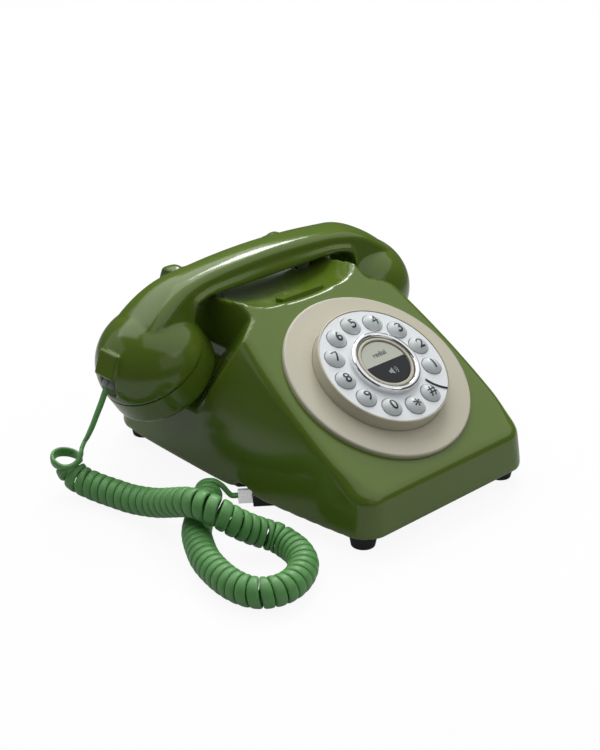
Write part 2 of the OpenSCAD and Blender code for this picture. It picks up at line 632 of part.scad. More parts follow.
line_jack_d = 16;
line_jack_back = back_at(line_jack_z + line_jack_h, wall) - seat_gap;
module line_jack() color([0.13, 0.14, 0.14]) difference() {
  translate([line_jack_x, line_jack_back - line_jack_d / 2, board_z + board_size[2]])
    boxed([line_jack_w + 2, line_jack_d, line_jack_z + line_jack_h - board_z - board_size[2] + 1], 0);
  translate([line_jack_x, line_jack_back - line_jack_d / 2 + 2, line_jack_z + 1.5])
    boxed([line_jack_w - 2, line_jack_d, line_jack_h - 4], 0);
}
ringer_back = back_at(ringer_z + knob, wall) - seat_gap;
module ringer_switch() color([0.5, 0.5, 0.5]) translate([ringer_x, ringer_back - 3.5, board_z + board_size[2]])
  boxed([14, 6, ringer_z + knob / 2 + 2 - board_z - board_size[2]], 0);
module ringer_knob() color([0.06, 0.06, 0.07]) translate([ringer_x - ringer_travel / 2, 0, ringer_z - knob / 2])
  translate([-knob / 2, ringer_back - 0.5 + run_gap, 0]) cube([knob, wall + 2.5 + back_y - back_at(ringer_z, 0), knob]);

// Handset: arched handle lofted between two bulbs
handle_end = bulb_x + 15;
neck_r = 40;
function past(x, edge) = max(0, abs(x) - edge);
function arch_z(x) = handle_top - x * x / (2 * handle_arch_r) - pow(past(x, neck_x), 2) / (2 * neck_r);
// Underside: flat on the rests, then falling to the bulbs and into them
function above_cap(x) = bulb_z + (bulb_x - abs(x)) * tan(bulb_tilt) + 2;
function handle_low(x) = max(abs(x) > neck_x ? above_cap(x) : 0,
  hs_under - 0.018 * pow(past(x, ridge_x + 2), 2) - pow(past(x, neck_x), 2) / 2.2);
function handle_spread(x) = ease(past(x, ridge_x - 2) / (handle_end - ridge_x + 2));
function handle_ring(x) =
  let (top = arch_z(x), low = handle_low(x), f = handle_spread(x), r = handle_edge_r * (1 + f),
       wt = handle_w_top / 2 + handle_flare * f, wb = handle_w_bottom / 2 + handle_flare * f)
  concat(
    [for (k = [0:3]) [-wt + r - r * sin(90 - 30 * k), top - r + r * cos(90 - 30 * k)]],
    [for (k = [0:3]) [wt - r + r * sin(30 * k), top - r + r * cos(30 * k)]],
    [for (k = [0:2]) [wb - 2 + 2 * cos(45 * k), low + 2 - 2 * sin(45 * k)]],
    [for (k = [0:2]) [-wb + 2 - 2 * sin(45 * k), low + 2 - 2 * cos(45 * k)]]);
handle_half = concat([for (k = [0:4]) ridge_x * k / 4], [for (k = [1:3]) mix(ridge_x, neck_x, k / 3)],
  [for (k = [1:3]) neck_x + 2 * k], [for (k = [1:6]) mix(neck_x + 6, handle_end, k / 6)]);
module handle_loft() {
  n = len(handle_half) - 1;
  xs = [for (k = [-n:n]) sign(k) * handle_half[abs(k)]];
  rings = [for (x = xs) [for (p = handle_ring(x)) [x, hs_y + p[0], p[1]]]];
  polyhedron([for (g = rings, p = g) p], skin_faces(len(xs), len(rings[0])));
}
seam_gap = 0.3;
channel_floor = 3;
weight_l = 90;
weight_w = 11.6;
weight_h = 5;
cap_spigot = 2;
hood_w = plug_w + 8.3;
module at_hs_jack() translate([-hs_jack_x, hs_y, hs_jack_z]) rotate([0, -hs_jack_tilt, 0]) children();
module bulb_dome(r, h, z0) turned(concat([[0, z0], [r, z0]], [for (k = [1:12]) [r * cos(7.5 * k), h * sin(7.5 * k)]]));
module handset_body() color(green) difference() {
  union() {
    handle_loft();
    for (side = [-1, 1]) at_bulb(side) bulb_dome(bulb_r, dome_rise, seam_gap / 2);
    at_hs_jack() translate([-1.5, -hood_w / 2, -plug_h / 2 - 2]) cube([jack_l, hood_w, plug_h + 5]);
  }
  for (side = [-1, 1]) at_bulb(side) bulb_dome(bulb_r - hs_wall, dome_rise - hs_wall, -1);
  translate([0, hs_y, hs_under + channel_floor]) boxed([weight_l + 2 * seat_gap, weight_w + 2 * seat_gap, weight_h + seat_gap], 0);
  at_hs_jack() translate([-2 * plug_out, -plug_w / 2 - jack_wall - seat_gap, -plug_h / 2 - jack_wall - seat_gap])
    cube([jack_l + 2 * plug_out + seat_gap, plug_w + 2 * (jack_wall + seat_gap), plug_h + 2 * (jack_wall + seat_gap)]);
}

// Caps close the bulbs; each has a spigot inside the bulb and a face pierced for sound
cap_in_r = bulb_r - hs_wall - seat_gap;
module cap(hole_r, circle_r, count) difference() {
  turned(concat(
    [[0, -cap_h + 1]], [[10, -cap_h + 0.4]], [[bulb_r - cap_rim_r - 3, -cap_h]],
    arc(bulb_r - cap_rim_r, -cap_h + cap_rim_r, cap_rim_r, -90, 0, 5),
    [[bulb_r, -seam_gap / 2], [cap_in_r, -seam_gap / 2], [cap_in_r, cap_spigot], [cap_in_r - 1.8, cap_spigot],
     [cap_in_r - 1.8, -cap_h + cap_rim_r + 1], [cap_in_r - 4, -cap_h + 3.2], [0, -cap_h + 3.2]]));
  translate([0, 0, -cap_h - 1]) cylinder(r = hole_r, h = 6);
  for (k = [0:count - 1]) rotate([0, 0, 360 * k / count]) translate([circle_r, 0, -cap_h - 1]) cylinder(r = hole_r, h = 6);
}
module mouth_cap() color(green) at_bulb(-1) cap(1.4, 8, 6);
module ear_cap() color(green) at_bulb(1) cap(1.6, 9, 6);
capsule_z = -cap_h + 3.2;
mic_r = 12;
mic_h = 8;
module microphone() color([0.2, 0.2, 0.2]) at_bulb(-1) translate([0, 0, capsule_z]) turned([
  [0, 0], [mic_r, 0], [mic_r, 0.75 * mic_h], [0.75 * mic_r, mic_h], [0, mic_h]]);
ear_r = 18;
ear_h = 11;
module receiver() color([0.25, 0.25, 0.25]) at_bulb(1) translate([0, 0, capsule_z]) turned([
  [0, 0], [ear_r, 0], [ear_r, 0.36 * ear_h], [0.6 * ear_r, 0.55 * ear_h], [0.6 * ear_r, ear_h], [0, ear_h]]);
module handset_weight() color([0.45, 0.46, 0.48]) translate([0, hs_y, hs_under + channel_floor])
  boxed([weight_l, weight_w, weight_h], 0);
module handset_jack() color([0.13, 0.14, 0.14]) at_hs_jack() jack_block(jack_l);
module handset_plug() color([0.85, 0.9, 0.9]) at_hs_jack() plug_block();

// Cord: route of the coil's axis from the handset's end to the base's end
COIL_ROUTE = [
  [-135.5, 59.5, 24], [-135.3, 59, 17.5], [-133.5, 53.5, 11], [-129, 43, 8.6], [-125.5, 30, 8.6], [-122.5, 16, 9.6],
  [-120, 0, 13.5], [-120, -14, 19.4], [-120.5, -27, 25], [-120, -38, 27.2], [-117, -47, 26], [-112, -53.5, 21.5],
  [-105.5, -58, 16.5], [-99, -62, 12.5], [-94, -67, 10], [-91.5, -74, 8.6], [-93, -83, 8.6], [-98, -91, 8.6],
  [-105.5, -97, 8.6], [-114, -100.5, 8.6], [-122.5, -101.5, 8.6], [-130, -98.5, 8.6], [-134.5, -92, 8.6],
  [-136, -82.5, 8.6], [-135, -71, 8.6], [-131.5, -57, 8.6], [-126, -45, 8.6], [-119.5, -34, 8.6],
  [-112, -26, 8.6], [-102, -17, 8.6], [-94, -10.5, 8.6], [-88, -5.5, 8.6]];
coil_start_side = [0.66, -0.61, 0];
coil_end_side = [0, 0, 1];
route_steps = 8;
function catmull(p, i, t) =
  let (n = len(p) - 1, a = p[max(i - 1, 0)], b = p[i], c = p[min(i + 1, n)], d = p[min(i + 2, n)])
  0.5 * ((2 * b) + (c - a) * t + (2 * a - 5 * b + 4 * c - d) * t * t + (3 * b - 3 * c + d - a) * t * t * t);
axis_points = concat(
  [for (i = [0:len(COIL_ROUTE) - 2], k = [0:route_steps - 1]) catmull(COIL_ROUTE, i, k / route_steps)],
  [COIL_ROUTE[len(COIL_ROUTE) - 1]]);
axis_n = len(axis_points);
axis_t = [for (i = [0:axis_n - 1]) tangent(axis_points, i)];
function bend(i) = let (a = max(i - 4, 0), b = min(i + 4, axis_n - 1))
  norm(axis_t[b] - axis_t[a]) / norm(axis_points[b] - axis_points[a]);
// Side axes carried along the route without twist
function carried(i, a, out) = i >= axis_n ? out
  : let (t = axis_t[i], b = unit(a - (a * t) * t)) carried(i + 1, b, concat(out, [b]));
axis_a = carried(0, [1, 0, 0], []);
function angle_in(i, v) = atan2(v * cross(axis_t[i], axis_a[i]), v * axis_a[i]);
// Advance of one curl, a little longer in a bend, where the inside of the curls is squeezed
function advance(i) = (cord_w + curl_gap) / (1 - 0.4 * min(0.6, coil_r * bend(i)));
function turns_to(i, sum, out) = i >= axis_n ? out
  : let (next = sum + norm(axis_points[i] - axis_points[i - 1]) / advance(i)) turns_to(i + 1, next, concat(out, [next]));
raw_turns = turns_to(1, 0, [0]);
start_angle = angle_in(0, coil_start_side);
end_angle = angle_in(axis_n - 1, coil_end_side);
part_turn = (end_angle - start_angle) / 360;
coil_turns = floor(raw_turns[axis_n - 1] - 1) + part_turn - floor(part_turn);
axis_turns = [for (t = raw_turns) t * coil_turns / raw_turns[axis_n - 1]];
curl_rings = 8;
ring_total = round(coil_turns * curl_rings);
function find(v, lo, hi) = hi - lo <= 1 ? lo
  : let (m = floor((lo + hi) / 2)) axis_turns[m] <= v ? find(v, m, hi) : find(v, lo, m);
helix_r = coil_r - cord_t / 2;
// One ring of the flat cord: middle, outward axis and axis along the coil
function helix_ring(k) =
  let (v = coil_turns * k / ring_total, i = find(v, 0, axis_n - 1),
       f = (v - axis_turns[i]) / (axis_turns[i + 1] - axis_turns[i]),
       c = mix(axis_points[i], axis_points[i + 1], f), t = unit(mix(axis_t[i], axis_t[i + 1], f)),
       a = unit(mix(axis_a[i], axis_a[i + 1], f)), b = cross(t, a), w = start_angle + 360 * v,
       o = cos(w) * a + sin(w) * b)
  [c + helix_r * o, o, t];
helix = [for (k = [0:ring_total]) helix_ring(k)];
// Width of the cord at a ring, narrowed where the next curl is close
function curl_step(k) = k < 0 || k > ring_total - curl_rings ? big : norm(helix[k + curl_rings][0] - helix[k][0]);
curl_w = [for (k = [0:ring_total]) min(cord_w, min(curl_step(k), curl_step(k - curl_rings)) - squeeze_gap)];
module cord_coil() color([0.3, 0.5, 0.3]) {
  rings = [for (k = [0:ring_total]) ring_at(helix[k][0], helix[k][2], helix[k][1], curl_w[k] / 2, cord_t / 2, 6)];
  polyhedron([for (g = rings, p = g) p], skin_faces(len(rings), 6));
}
// Least gap between neighbouring curls and between stretches of the coil, measured on the helix points
least_curl_gap = min([for (k = [0:ring_total - curl_rings])
  curl_step(k) - (curl_w[k] + curl_w[k + curl_rings]) / 2]);
echo("least width of the squeezed cord", min(curl_w));
far = 40;
least_cross_gap = min([for (i = [0:axis_n - 1 - far], j = [i + far:axis_n - 1])
  norm(axis_points[j] - axis_points[i])]) - 2 * coil_r;
echo("least gap between curls", least_curl_gap);
echo("least gap where the coil crosses itself", least_cross_gap);
echo("curls", coil_turns, "length of the coiled cord",
  norm([2 * PI * helix_r, cord_w + curl_gap]) * coil_turns);

// Straight ends of the cord, from each plug to the coil
function turn_y(v, a) = [v[0] * cos(a) + v[2] * sin(a), v[1], -v[0] * sin(a) + v[2] * cos(a)];
hs_tail = [-hs_jack_x, hs_y, hs_jack_z] + turn_y([-plug_out, 0, 0], -hs_jack_tilt);
hs_dir = turn_y([-1, 0, 0], -hs_jack_tilt);
start_dir = -cross(helix[0][2], helix[0][1]);
end_dir = cross(helix[ring_total][2], helix[ring_total][1]);
LEAD_ROUTE = [[-116, 51.5, 51], [-119.6, 52.8, 44], [-122.8, 54.6, 37], [-125.6, 56.8, 30.5], [-127, 58, 27]];
module handset_lead() color([0.3, 0.5, 0.3]) tube(concat(
  [hs_tail, hs_tail + lead_d * hs_dir], LEAD_ROUTE,
  [helix[0][0] + (lead_d + run_gap) * start_dir, helix[0][0] + run_gap * start_dir]), lead_d / 2, 8);
base_dir = [-cos(base_jack_yaw), sin(base_jack_yaw), 0];
base_tail = [base_jack_x, base_jack_y, base_jack_z] + plug_out * base_dir;
BASE_ROUTE = [[-80.2, -12.6, 8], [-82.8, -10.6, 12.4]];
module base_lead() color([0.3, 0.5, 0.3]) tube(concat(
  [base_tail, base_tail + lead_d * base_dir], BASE_ROUTE,
  [helix[ring_total][0] + lead_d * end_dir, helix[ring_total][0]]), lead_d / 2, 8);
echo("ends", helix[0][0], start_dir, helix[ring_total][0], end_dir, hs_tail, base_tail);

upper_housing();
base_plate();
rubber_feet();
base_screws();
dial_surround();
dial_cup();
dial_face();
finger_stop();
chrome_ring();
centre_bezel();
keypad_mat();
keypad_board();
keypad_screws();
for (i = [0:11]) key(i);
redial_key();
speaker_key();
recall_bar();
hook_yoke();
hook_springs();
hook_board();
hook_switch();
recall_switch();
hook_screws();
main_board();
board_screws();
ballast_plate();
loudspeaker();
base_jack();
line_jack();
ringer_switch();
ringer_knob();
handset_body();
mouth_cap();
ear_cap();
microphone();
receiver();
handset_weight();
handset_jack();
handset_plug();
handset_lead();
cord_coil();
base_lead();
base_plug();
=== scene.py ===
"""Looks of a push-button desk telephone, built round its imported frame.

Every piece is in metres in the frame's own axes: +X to the user's right,
+Y to the back and +Z up, with the table at z = 0.
"""

from __future__ import annotations

import json
import logging
import math
from dataclasses import dataclass
from enum import Enum
from typing import Any, Callable, Iterable, Sequence

import bpy
import numpy as np
from mathutils import Matrix, Vector

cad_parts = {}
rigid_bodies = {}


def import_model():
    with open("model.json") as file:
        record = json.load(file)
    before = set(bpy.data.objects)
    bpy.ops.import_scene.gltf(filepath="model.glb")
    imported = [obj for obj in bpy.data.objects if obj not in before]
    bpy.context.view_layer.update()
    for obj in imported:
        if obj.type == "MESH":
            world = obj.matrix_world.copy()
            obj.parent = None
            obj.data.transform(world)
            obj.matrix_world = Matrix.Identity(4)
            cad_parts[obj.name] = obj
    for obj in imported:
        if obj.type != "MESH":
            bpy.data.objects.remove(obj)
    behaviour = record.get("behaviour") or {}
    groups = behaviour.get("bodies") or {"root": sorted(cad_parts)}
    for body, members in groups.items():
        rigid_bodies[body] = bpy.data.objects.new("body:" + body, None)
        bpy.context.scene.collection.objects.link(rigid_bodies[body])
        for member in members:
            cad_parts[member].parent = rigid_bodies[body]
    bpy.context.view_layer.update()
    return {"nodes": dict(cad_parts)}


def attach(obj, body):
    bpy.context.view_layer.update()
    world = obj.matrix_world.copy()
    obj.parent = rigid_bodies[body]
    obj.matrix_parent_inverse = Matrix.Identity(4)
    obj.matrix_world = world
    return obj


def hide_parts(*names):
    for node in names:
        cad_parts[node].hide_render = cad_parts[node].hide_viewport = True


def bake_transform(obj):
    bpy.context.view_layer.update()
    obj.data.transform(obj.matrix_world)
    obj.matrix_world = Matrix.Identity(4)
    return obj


LOG = logging.getLogger("desk_telephone")
MM = 0.001
FAR = 250.0
Point = Sequence[float]
Pair = tuple[float, float]
Triple = tuple[float, float, float]
Piece = bpy.types.Object
Socket = bpy.types.NodeSocket


# Shader maths


class Value:
    """A node socket that takes part in Python expressions."""

    def __init__(self, tree: bpy.types.NodeTree, socket: Socket) -> None:
        """Wraps one output socket of a node tree."""
        self.tree = tree
        self.socket = socket

    def math(self, operation: str, first: Any, second: Any) -> "Value":
        """Adds a Math node.

        Args:
            operation: Name of the Math node's operation.
            first: First number or value.
            second: Second number or value.

        Returns:
            The node's result.
        """
        node = self.tree.nodes.new("ShaderNodeMath")
        node.operation = operation
        for slot, item in zip(node.inputs, (first, second)):
            if isinstance(item, Value):
                self.tree.links.new(item.socket, slot)
            else:
                slot.default_value = float(item)
        return Value(self.tree, node.outputs[0])

    def __add__(self, other: Any) -> "Value":
        """Sum."""
        return self.math("ADD", self, other)

    __radd__ = __add__

    def __sub__(self, other: Any) -> "Value":
        """Difference."""
        return self.math("SUBTRACT", self, other)

    def __rsub__(self, other: Any) -> "Value":
        """Difference, taken from a number."""
        return self.math("SUBTRACT", other, self)

    def __mul__(self, other: Any) -> "Value":
        """Product."""
        return self.math("MULTIPLY", self, other)

    __rmul__ = __mul__


class Shader:
    """The node tree of a material or of the world, with one way to add any node."""

    def __init__(self, name: str, world: bool = False) -> None:
        """Makes an empty node tree.

        Args:
            name: Name of the material or the world.
            world: Whether it is a world.
        """
        self.owner = (bpy.data.worlds if world else bpy.data.materials).new(name)
        self.owner.use_nodes = True
        self.tree = self.owner.node_tree
        self.tree.nodes.clear()
        self.output = self.tree.nodes.new("ShaderNodeOutputWorld" if world else "ShaderNodeOutputMaterial")

    def node(self, kind: str, settings: dict[str, Any] | None = None, **inputs: Any) -> bpy.types.Node:
        """Adds a node, sets its options and then its sockets.

        Args:
            kind: Blender's name of the node's type.
            settings: Options of the node, set first.
            **inputs: Values or links of its sockets, by name with underscores for spaces, or by _ and a number.

        Returns:
            The new node.
        """
        made = self.tree.nodes.new(kind)
        for key, item in (settings or {}).items():
            setattr(made, key, item)
        for key, item in inputs.items():
            slot = made.inputs[int(key[1:])] if key[0] == "_" else made.inputs[key.replace("_", " ")]
            self.feed(slot, item)
        return made

    def feed(self, slot: Socket, item: Any) -> None:
        """Links a value to a socket, or sets the socket's own number.

        Args:
            slot: The socket to feed.
            item: A value, a socket, a number or a tuple.
        """
        if isinstance(item, Value):
            self.tree.links.new(item.socket, slot)
        elif isinstance(item, Socket):
            self.tree.links.new(item, slot)
        else:
            slot.default_value = item

    def coordinates(self) -> Socket:
        """Object coordinates of the piece."""
        return self.node("ShaderNodeTexCoord").outputs["Object"]

    def noise(self, scale: float, detail: float = 2.0, rough: float = 0.5) -> Value:
        """Adds a pattern from 0 to 1 with a number of blotches in a metre, and finer layers."""
        made = self.node("ShaderNodeTexNoise", Vector=self.coordinates(), Scale=scale, Detail=detail, Roughness=rough)
        return Value(self.tree, made.outputs["Fac"])

    def tint(self, factor: Value, low: Sequence[float], high: Sequence[float]) -> Socket:
        """Mixes two colours by a value from 0 to 1."""
        made = self.node("ShaderNodeMix", {"data_type": "RGBA"}, _0=factor, _6=(*low, 1.0), _7=(*high, 1.0))
        return made.outputs[2]

    def bump(self, height: Value, depth: float) -> Socket:
        """Turns a pattern of heights into a bumped normal, with a depth in metres."""
        return self.node("ShaderNodeBump", Strength=1.0, Distance=depth, Height=height).outputs["Normal"]

    def surface(self, shader: Socket) -> Any:
        """Ends the tree on a shader and returns the material or the world."""
        self.tree.links.new(shader, self.output.inputs["Surface"])
        return self.owner


def rays(tree: bpy.types.NodeTree) -> list[Value]:
    """Values that tell the camera's rays, rays through clear pieces and mirrored rays."""
    path = tree.nodes.new("ShaderNodeLightPath")
    return [Value(tree, path.outputs[f"Is {kind} Ray"]) for kind in ("Camera", "Transmission", "Glossy")]


def linear(red: int, green: int, blue: int) -> Triple:
    """Turns a screen colour from 0 to 255 into a linear colour."""
    return tuple(
        c / 12.92 if c <= 0.04045 else ((c + 0.055) / 1.055) ** 2.4 for c in (red / 255, green / 255, blue / 255)
    )


# Finishes


@dataclass(frozen=True)
class Plastic:
    """Moulded plastic with a faint unevenness of colour, gloss and surface."""

    name: str
    colour: Triple
    roughness: float = 0.2
    spread: float = 0.05
    gloss_spread: float = 0.06
    ripple: float = 0.0
    ripple_scale: float = 60.0
    grain: float = 0.0
    grain_scale: float = 1800.0
    coat: float = 0.0
    specular: float = 0.5
    coat_roughness: float = 0.04
    broad_scale: float = 24.0
    fine_scale: float = 420.0
    fine_share: float = 0.3

    def build(self) -> bpy.types.Material:
        """Makes the material.

        Returns:
            The new material.
        """
        sh = Shader(self.name)
        broad = sh.noise(self.broad_scale, 3.0)
        fine = sh.noise(self.fine_scale, 3.0, 0.6)
        low = tuple(c * (1 - self.spread) for c in self.colour)
        high = tuple(min(1.0, c * (1 + self.spread)) for c in self.colour)
        height = sh.noise(self.ripple_scale, 1.0) * self.ripple
        if self.grain > 0:
            height = height + sh.noise(self.grain_scale, 2.0) * self.grain
        node = sh.node(
            "ShaderNodeBsdfPrincipled",
            Base_Color=sh.tint(broad * (1 - self.fine_share) + fine * self.fine_share, low, high),
            Roughness=fine * self.gloss_spread + (self.roughness - self.gloss_spread / 2),
            Coat_Weight=self.coat,
            Coat_Roughness=self.coat_roughness,
            Specular_IOR_Level=self.specular,
        )
        if self.ripple > 0 or self.grain > 0:
            sh.feed(node.inputs["Normal"], sh.bump(height, MM))
        return sh.surface(node.outputs[0])


@dataclass(frozen=True)
class Metal:
    """Bright metal with fine brushing or a polished plating."""

    name: str
    colour: Triple
    roughness: float
    spread: float = 0.05
    gloss_spread: float = 0.08
    fine_scale: float = 900.0

    def build(self) -> bpy.types.Material:
        """Makes the material.

        Returns:
            The new material.
        """
        sh = Shader(self.name)
        fine = sh.noise(self.fine_scale, 3.0)
        low = tuple(c * (1 - self.spread) for c in self.colour)
        node = sh.node(
            "ShaderNodeBsdfPrincipled",
            Base_Color=sh.tint(fine, low, self.colour),
            Metallic=1.0,
            Roughness=fine * self.gloss_spread + self.roughness,
        )
        return sh.surface(node.outputs[0])


@dataclass(frozen=True)
class ClearPlastic:
    """Clear moulded plastic of the plugs."""

    name: str
    low: Triple = (0.6, 0.66, 0.65)
    high: Triple = (0.74, 0.78, 0.78)
    roughness: float = 0.08
    gloss_spread: float = 0.1
    alpha: float = 0.36
    ior: float = 1.49
    fine_scale: float = 500.0

    def build(self) -> bpy.types.Material:
        """Makes the material.

        Returns:
            The new material.
        """
        sh = Shader(self.name)
        fine = sh.noise(self.fine_scale, 2.0)
        node = sh.node(
            "ShaderNodeBsdfPrincipled",
            Base_Color=sh.tint(fine, self.low, self.high),
            Roughness=fine * self.gloss_spread + self.roughness,
            Alpha=self.alpha,
            IOR=self.ior,
        )
        return sh.surface(node.outputs[0])


class Finish(Enum):
    """The telephone's finishes."""

    GREEN = Plastic("green_gloss", linear(92, 116, 34), 0.16, 0.04, 0.04, 0.02, 45.0, coat=0.1)
    CORD = Plastic("cord_sheath", linear(98, 158, 88), 0.42, 0.07, 0.08, grain=0.012, grain_scale=2600.0)
    BEIGE = Plastic("beige_satin", linear(201, 196, 176), 0.38, 0.025, 0.06, grain=0.012, grain_scale=2400.0)
    WHITE = Plastic("white_plate", linear(238, 241, 243), 0.3, 0.015, 0.05, grain=0.006)
    KEY = Plastic("grey_key", linear(212, 218, 218), 0.3, 0.03, 0.05)
    HALF_KEY = Plastic("pale_half_key", linear(190, 193, 180), 0.33, 0.03, 0.05)
    DARK = Plastic("dark_gloss", linear(17, 20, 24), 0.3, 0.06, 0.06, specular=0.35)
    PRINT = Plastic("dark_print", linear(44, 50, 55), 0.5, 0.03, 0.05)
    PALE_PRINT = Plastic("pale_print", linear(154, 158, 160), 0.5, 0.03, 0.05)
    RUBBER = Plastic("black_rubber", linear(17, 20, 22), 0.7, 0.1, 0.1, grain=0.03)
    BASE = Plastic("base_grain", linear(38, 42, 38), 0.55, 0.08, 0.1, grain=0.03)
    NATURAL = Plastic("natural_plastic", linear(128, 131, 116), 0.45, 0.03, 0.05)
    BOARD = Plastic("board_lacquer", linear(26, 88, 52), 0.35, 0.1, 0.08)
    CHROME = Metal("bright_plating", (0.86, 0.87, 0.88), 0.05)
    STEEL = Metal("plain_steel", (0.55, 0.56, 0.58), 0.3)
    CLEAR = ClearPlastic("clear_plug")


class Finishes:
    """Keeps one material for each finish."""

    def __init__(self) -> None:
        """Starts with no material made."""
        self.made: dict[Finish, bpy.types.Material] = {}

    def dress(self, piece: Piece, finish: Finish) -> Piece:
        """Gives a piece one finish all over.

        Args:
            piece: The piece to dress.
            finish: Its finish.

        Returns:
            The same piece.
        """
        if finish not in self.made:
            self.made[finish] = finish.value.build()
            LOG.info("made finish %s", finish.name)
        piece.data.materials.clear()
        piece.data.materials.append(self.made[finish])
        return piece


# Modelling helpers


def select_only(piece: Piece) -> None:
    """Makes a piece the one that operators act on.

    Args:
        piece: The piece to select.
    """
    bpy.ops.object.select_all(action="DESELECT")
    piece.select_set(True)
    bpy.context.view_layer.objects.active = piece


def mesh_piece(name: str, points: Iterable[Point], faces: Iterable[Sequence[int]]) -> Piece:
    """Makes a mesh piece from computed points.

    Args:
        name: Name of the piece.
        points: Its points, in metres.
        faces: Its faces, as rows of point numbers.

    Returns:
        The new piece, with outward normals.
    """
    data = bpy.data.meshes.new(name)
    data.from_pydata([tuple(p) for p in points], [], [tuple(f) for f in faces])
    data.update()
    piece = bpy.data.objects.new(name, data)
    bpy.context.scene.collection.objects.link(piece)
    recalculate(piece)
    return piece


def recalculate(piece: Piece) -> None:
    """Merges doubles and points the normals of a piece outwards.

    Args:
        piece: The piece to mend.
    """
    select_only(piece)
    bpy.ops.object.mode_set(mode="EDIT")
    bpy.ops.mesh.select_all(action="SELECT")
    bpy.ops.mesh.remove_doubles(threshold=1e-7)
    bpy.ops.mesh.normals_make_consistent(inside=False)
    bpy.ops.object.mode_set(mode="OBJECT")


def apply_modifier(piece: Piece, name: str, kind: str, **settings: Any) -> None:
    """Adds a modifier to a piece and applies it.

    Args:
        piece: The piece.
        name: Name of the modifier.
        kind: Blender's name of its type.
        **settings: Its options.
    """
    select_only(piece)
    made = piece.modifiers.new(name, kind)
    for key, item in settings.items():
        setattr(made, key, item)
    bpy.ops.object.modifier_apply(modifier=made.name)


def cut(piece: Piece, tool: Piece, operation: str = "DIFFERENCE") -> None:
    """Cuts a piece by a tool, or joins or intersects them, and removes the tool."""
    apply_modifier(piece, "cut", "BOOLEAN", operation=operation, object=tool, solver="EXACT")
    bpy.data.objects.remove(tool)


def soften(piece: Piece, voxel: float, rounds: int) -> None:
    """Rounds a piece's edges as a moulding's are, on a new mesh of a size in metres."""
    apply_modifier(piece, "remesh", "REMESH", mode="VOXEL", voxel_size=voxel, use_smooth_shade=True)
    apply_modifier(piece, "smooth", "SMOOTH", factor=0.5, iterations=rounds)


def revolve(name: str, profile: Sequence[Pair], place: Matrix, steps: int = 128) -> Piece:
    """Spins a closed profile about its axis.

    Args:
        name: Name of the piece.
        profile: Radius and height pairs, in millimetres.
        place: Where the axis stands, in metres.
        steps: Number of steps round.

    Returns:
        The new piece.
    """
    count = len(profile)
    points: list[Vector] = []
    faces: list[tuple[int, ...]] = []
    for k in range(steps):
        turn = 2 * math.pi * k / steps
        for r, z in profile:
            points.append(place @ Vector((r * math.cos(turn) * MM, r * math.sin(turn) * MM, z * MM)))
        for j in range(count):
            a, b = k * count + j, k * count + (j + 1) % count
            c, d = ((k + 1) % steps) * count + (j + 1) % count, ((k + 1) % steps) * count + j
            faces.append((a, b, c, d))
    return mesh_piece(name, points, faces)


def arc(x: float, y: float, r: float, start: float, end: float, steps: int = 8) -> list[Pair]:
    """Points on an arc of a profile, with angles in degrees."""
    turns = [math.radians(start + (end - start) * k / steps) for k in range(steps + 1)]
    return [(x + r * math.cos(t), y + r * math.sin(t)) for t in turns]


def box_tool(name: str, low: Point, high: Point, place: Matrix = Matrix.Identity(4)) -> Piece:
    """Adds a block between two corners, in millimetres, in a place.

    Args:
        name: Name of the block.
        low: Lowest corner.
        high: Highest corner.
        place: Frame that the block lies in, in metres.

    Returns:
        The new block.
    """
    bpy.ops.object.select_all(action="DESELECT")
    bpy.ops.mesh.primitive_cube_add(size=1.0)
    block = bpy.context.object
    block.name = name
    size = [(h - b) * MM for b, h in zip(low, high)]
    middle = [(h + b) / 2 * MM for b, h in zip(low, high)]
    block.data.transform(place @ Matrix.Translation(middle) @ Matrix.Diagonal((*size, 1.0)))
    return block


def rod_tool(name: str, r: float, low: float, high: float, place: Matrix, steps: int = 64) -> Piece:
    """Adds a cylinder along Z of a place, in millimetres.

    Args:
        name: Name of the rod.
        r: Radius.
        low: Lower end.
        high: Upper end.
        place: Frame that the rod stands in, in metres.
        steps: Number of sides.

    Returns:
        The new rod.
    """
    bpy.ops.object.select_all(action="DESELECT")
    bpy.ops.mesh.primitive_cylinder_add(vertices=steps, radius=r * MM, depth=(high - low) * MM)
    rod = bpy.context.object
    rod.name = name
    rod.data.transform(place @ Matrix.Translation((0, 0, (high + low) / 2 * MM)))
    return rod


def at(x: float, y: float, z: float) -> Matrix:
    """A place at a point in millimetres."""
    return Matrix.Translation((x * MM, y * MM, z * MM))


def turned(axis: str, degrees: float) -> Matrix:
    """A turn about one axis."""
    return Matrix.Rotation(math.radians(degrees), 4, axis)


def skin(name: str, rings: Sequence[Sequence[Point]]) -> Piece:
    """Makes a piece from rings of points, closed by flat ends.

    Args:
        name: Name of the piece.
        rings: Rings with the same number of points, in metres.

    Returns:
        The new piece.
    """
    count, last = len(rings[0]), len(rings) - 1
    faces: list[tuple[int, ...]] = [tuple(range(count - 1, -1, -1))]
    for j in range(last):
        for k in range(count):
            a, b = j * count + k, j * count + (k + 1) % count
            faces.append((a, b, b + count, a + count))
    faces.append(tuple(last * count + k for k in range(count)))
    return mesh_piece(name, [p for ring in rings for p in ring], faces)


def ease(t: float) -> float:
    """Smooth step from 0 to 1."""
    u = max(0.0, min(1.0, t))
    return u * u * (3 - 2 * u)


def soft_max(a: float, b: float, k: float) -> float:
    """The larger of two lengths, with a rounded change-over."""
    h = max(k - abs(a - b), 0.0) / k
    return max(a, b) + h * h * k / 4


# The telephone's pieces


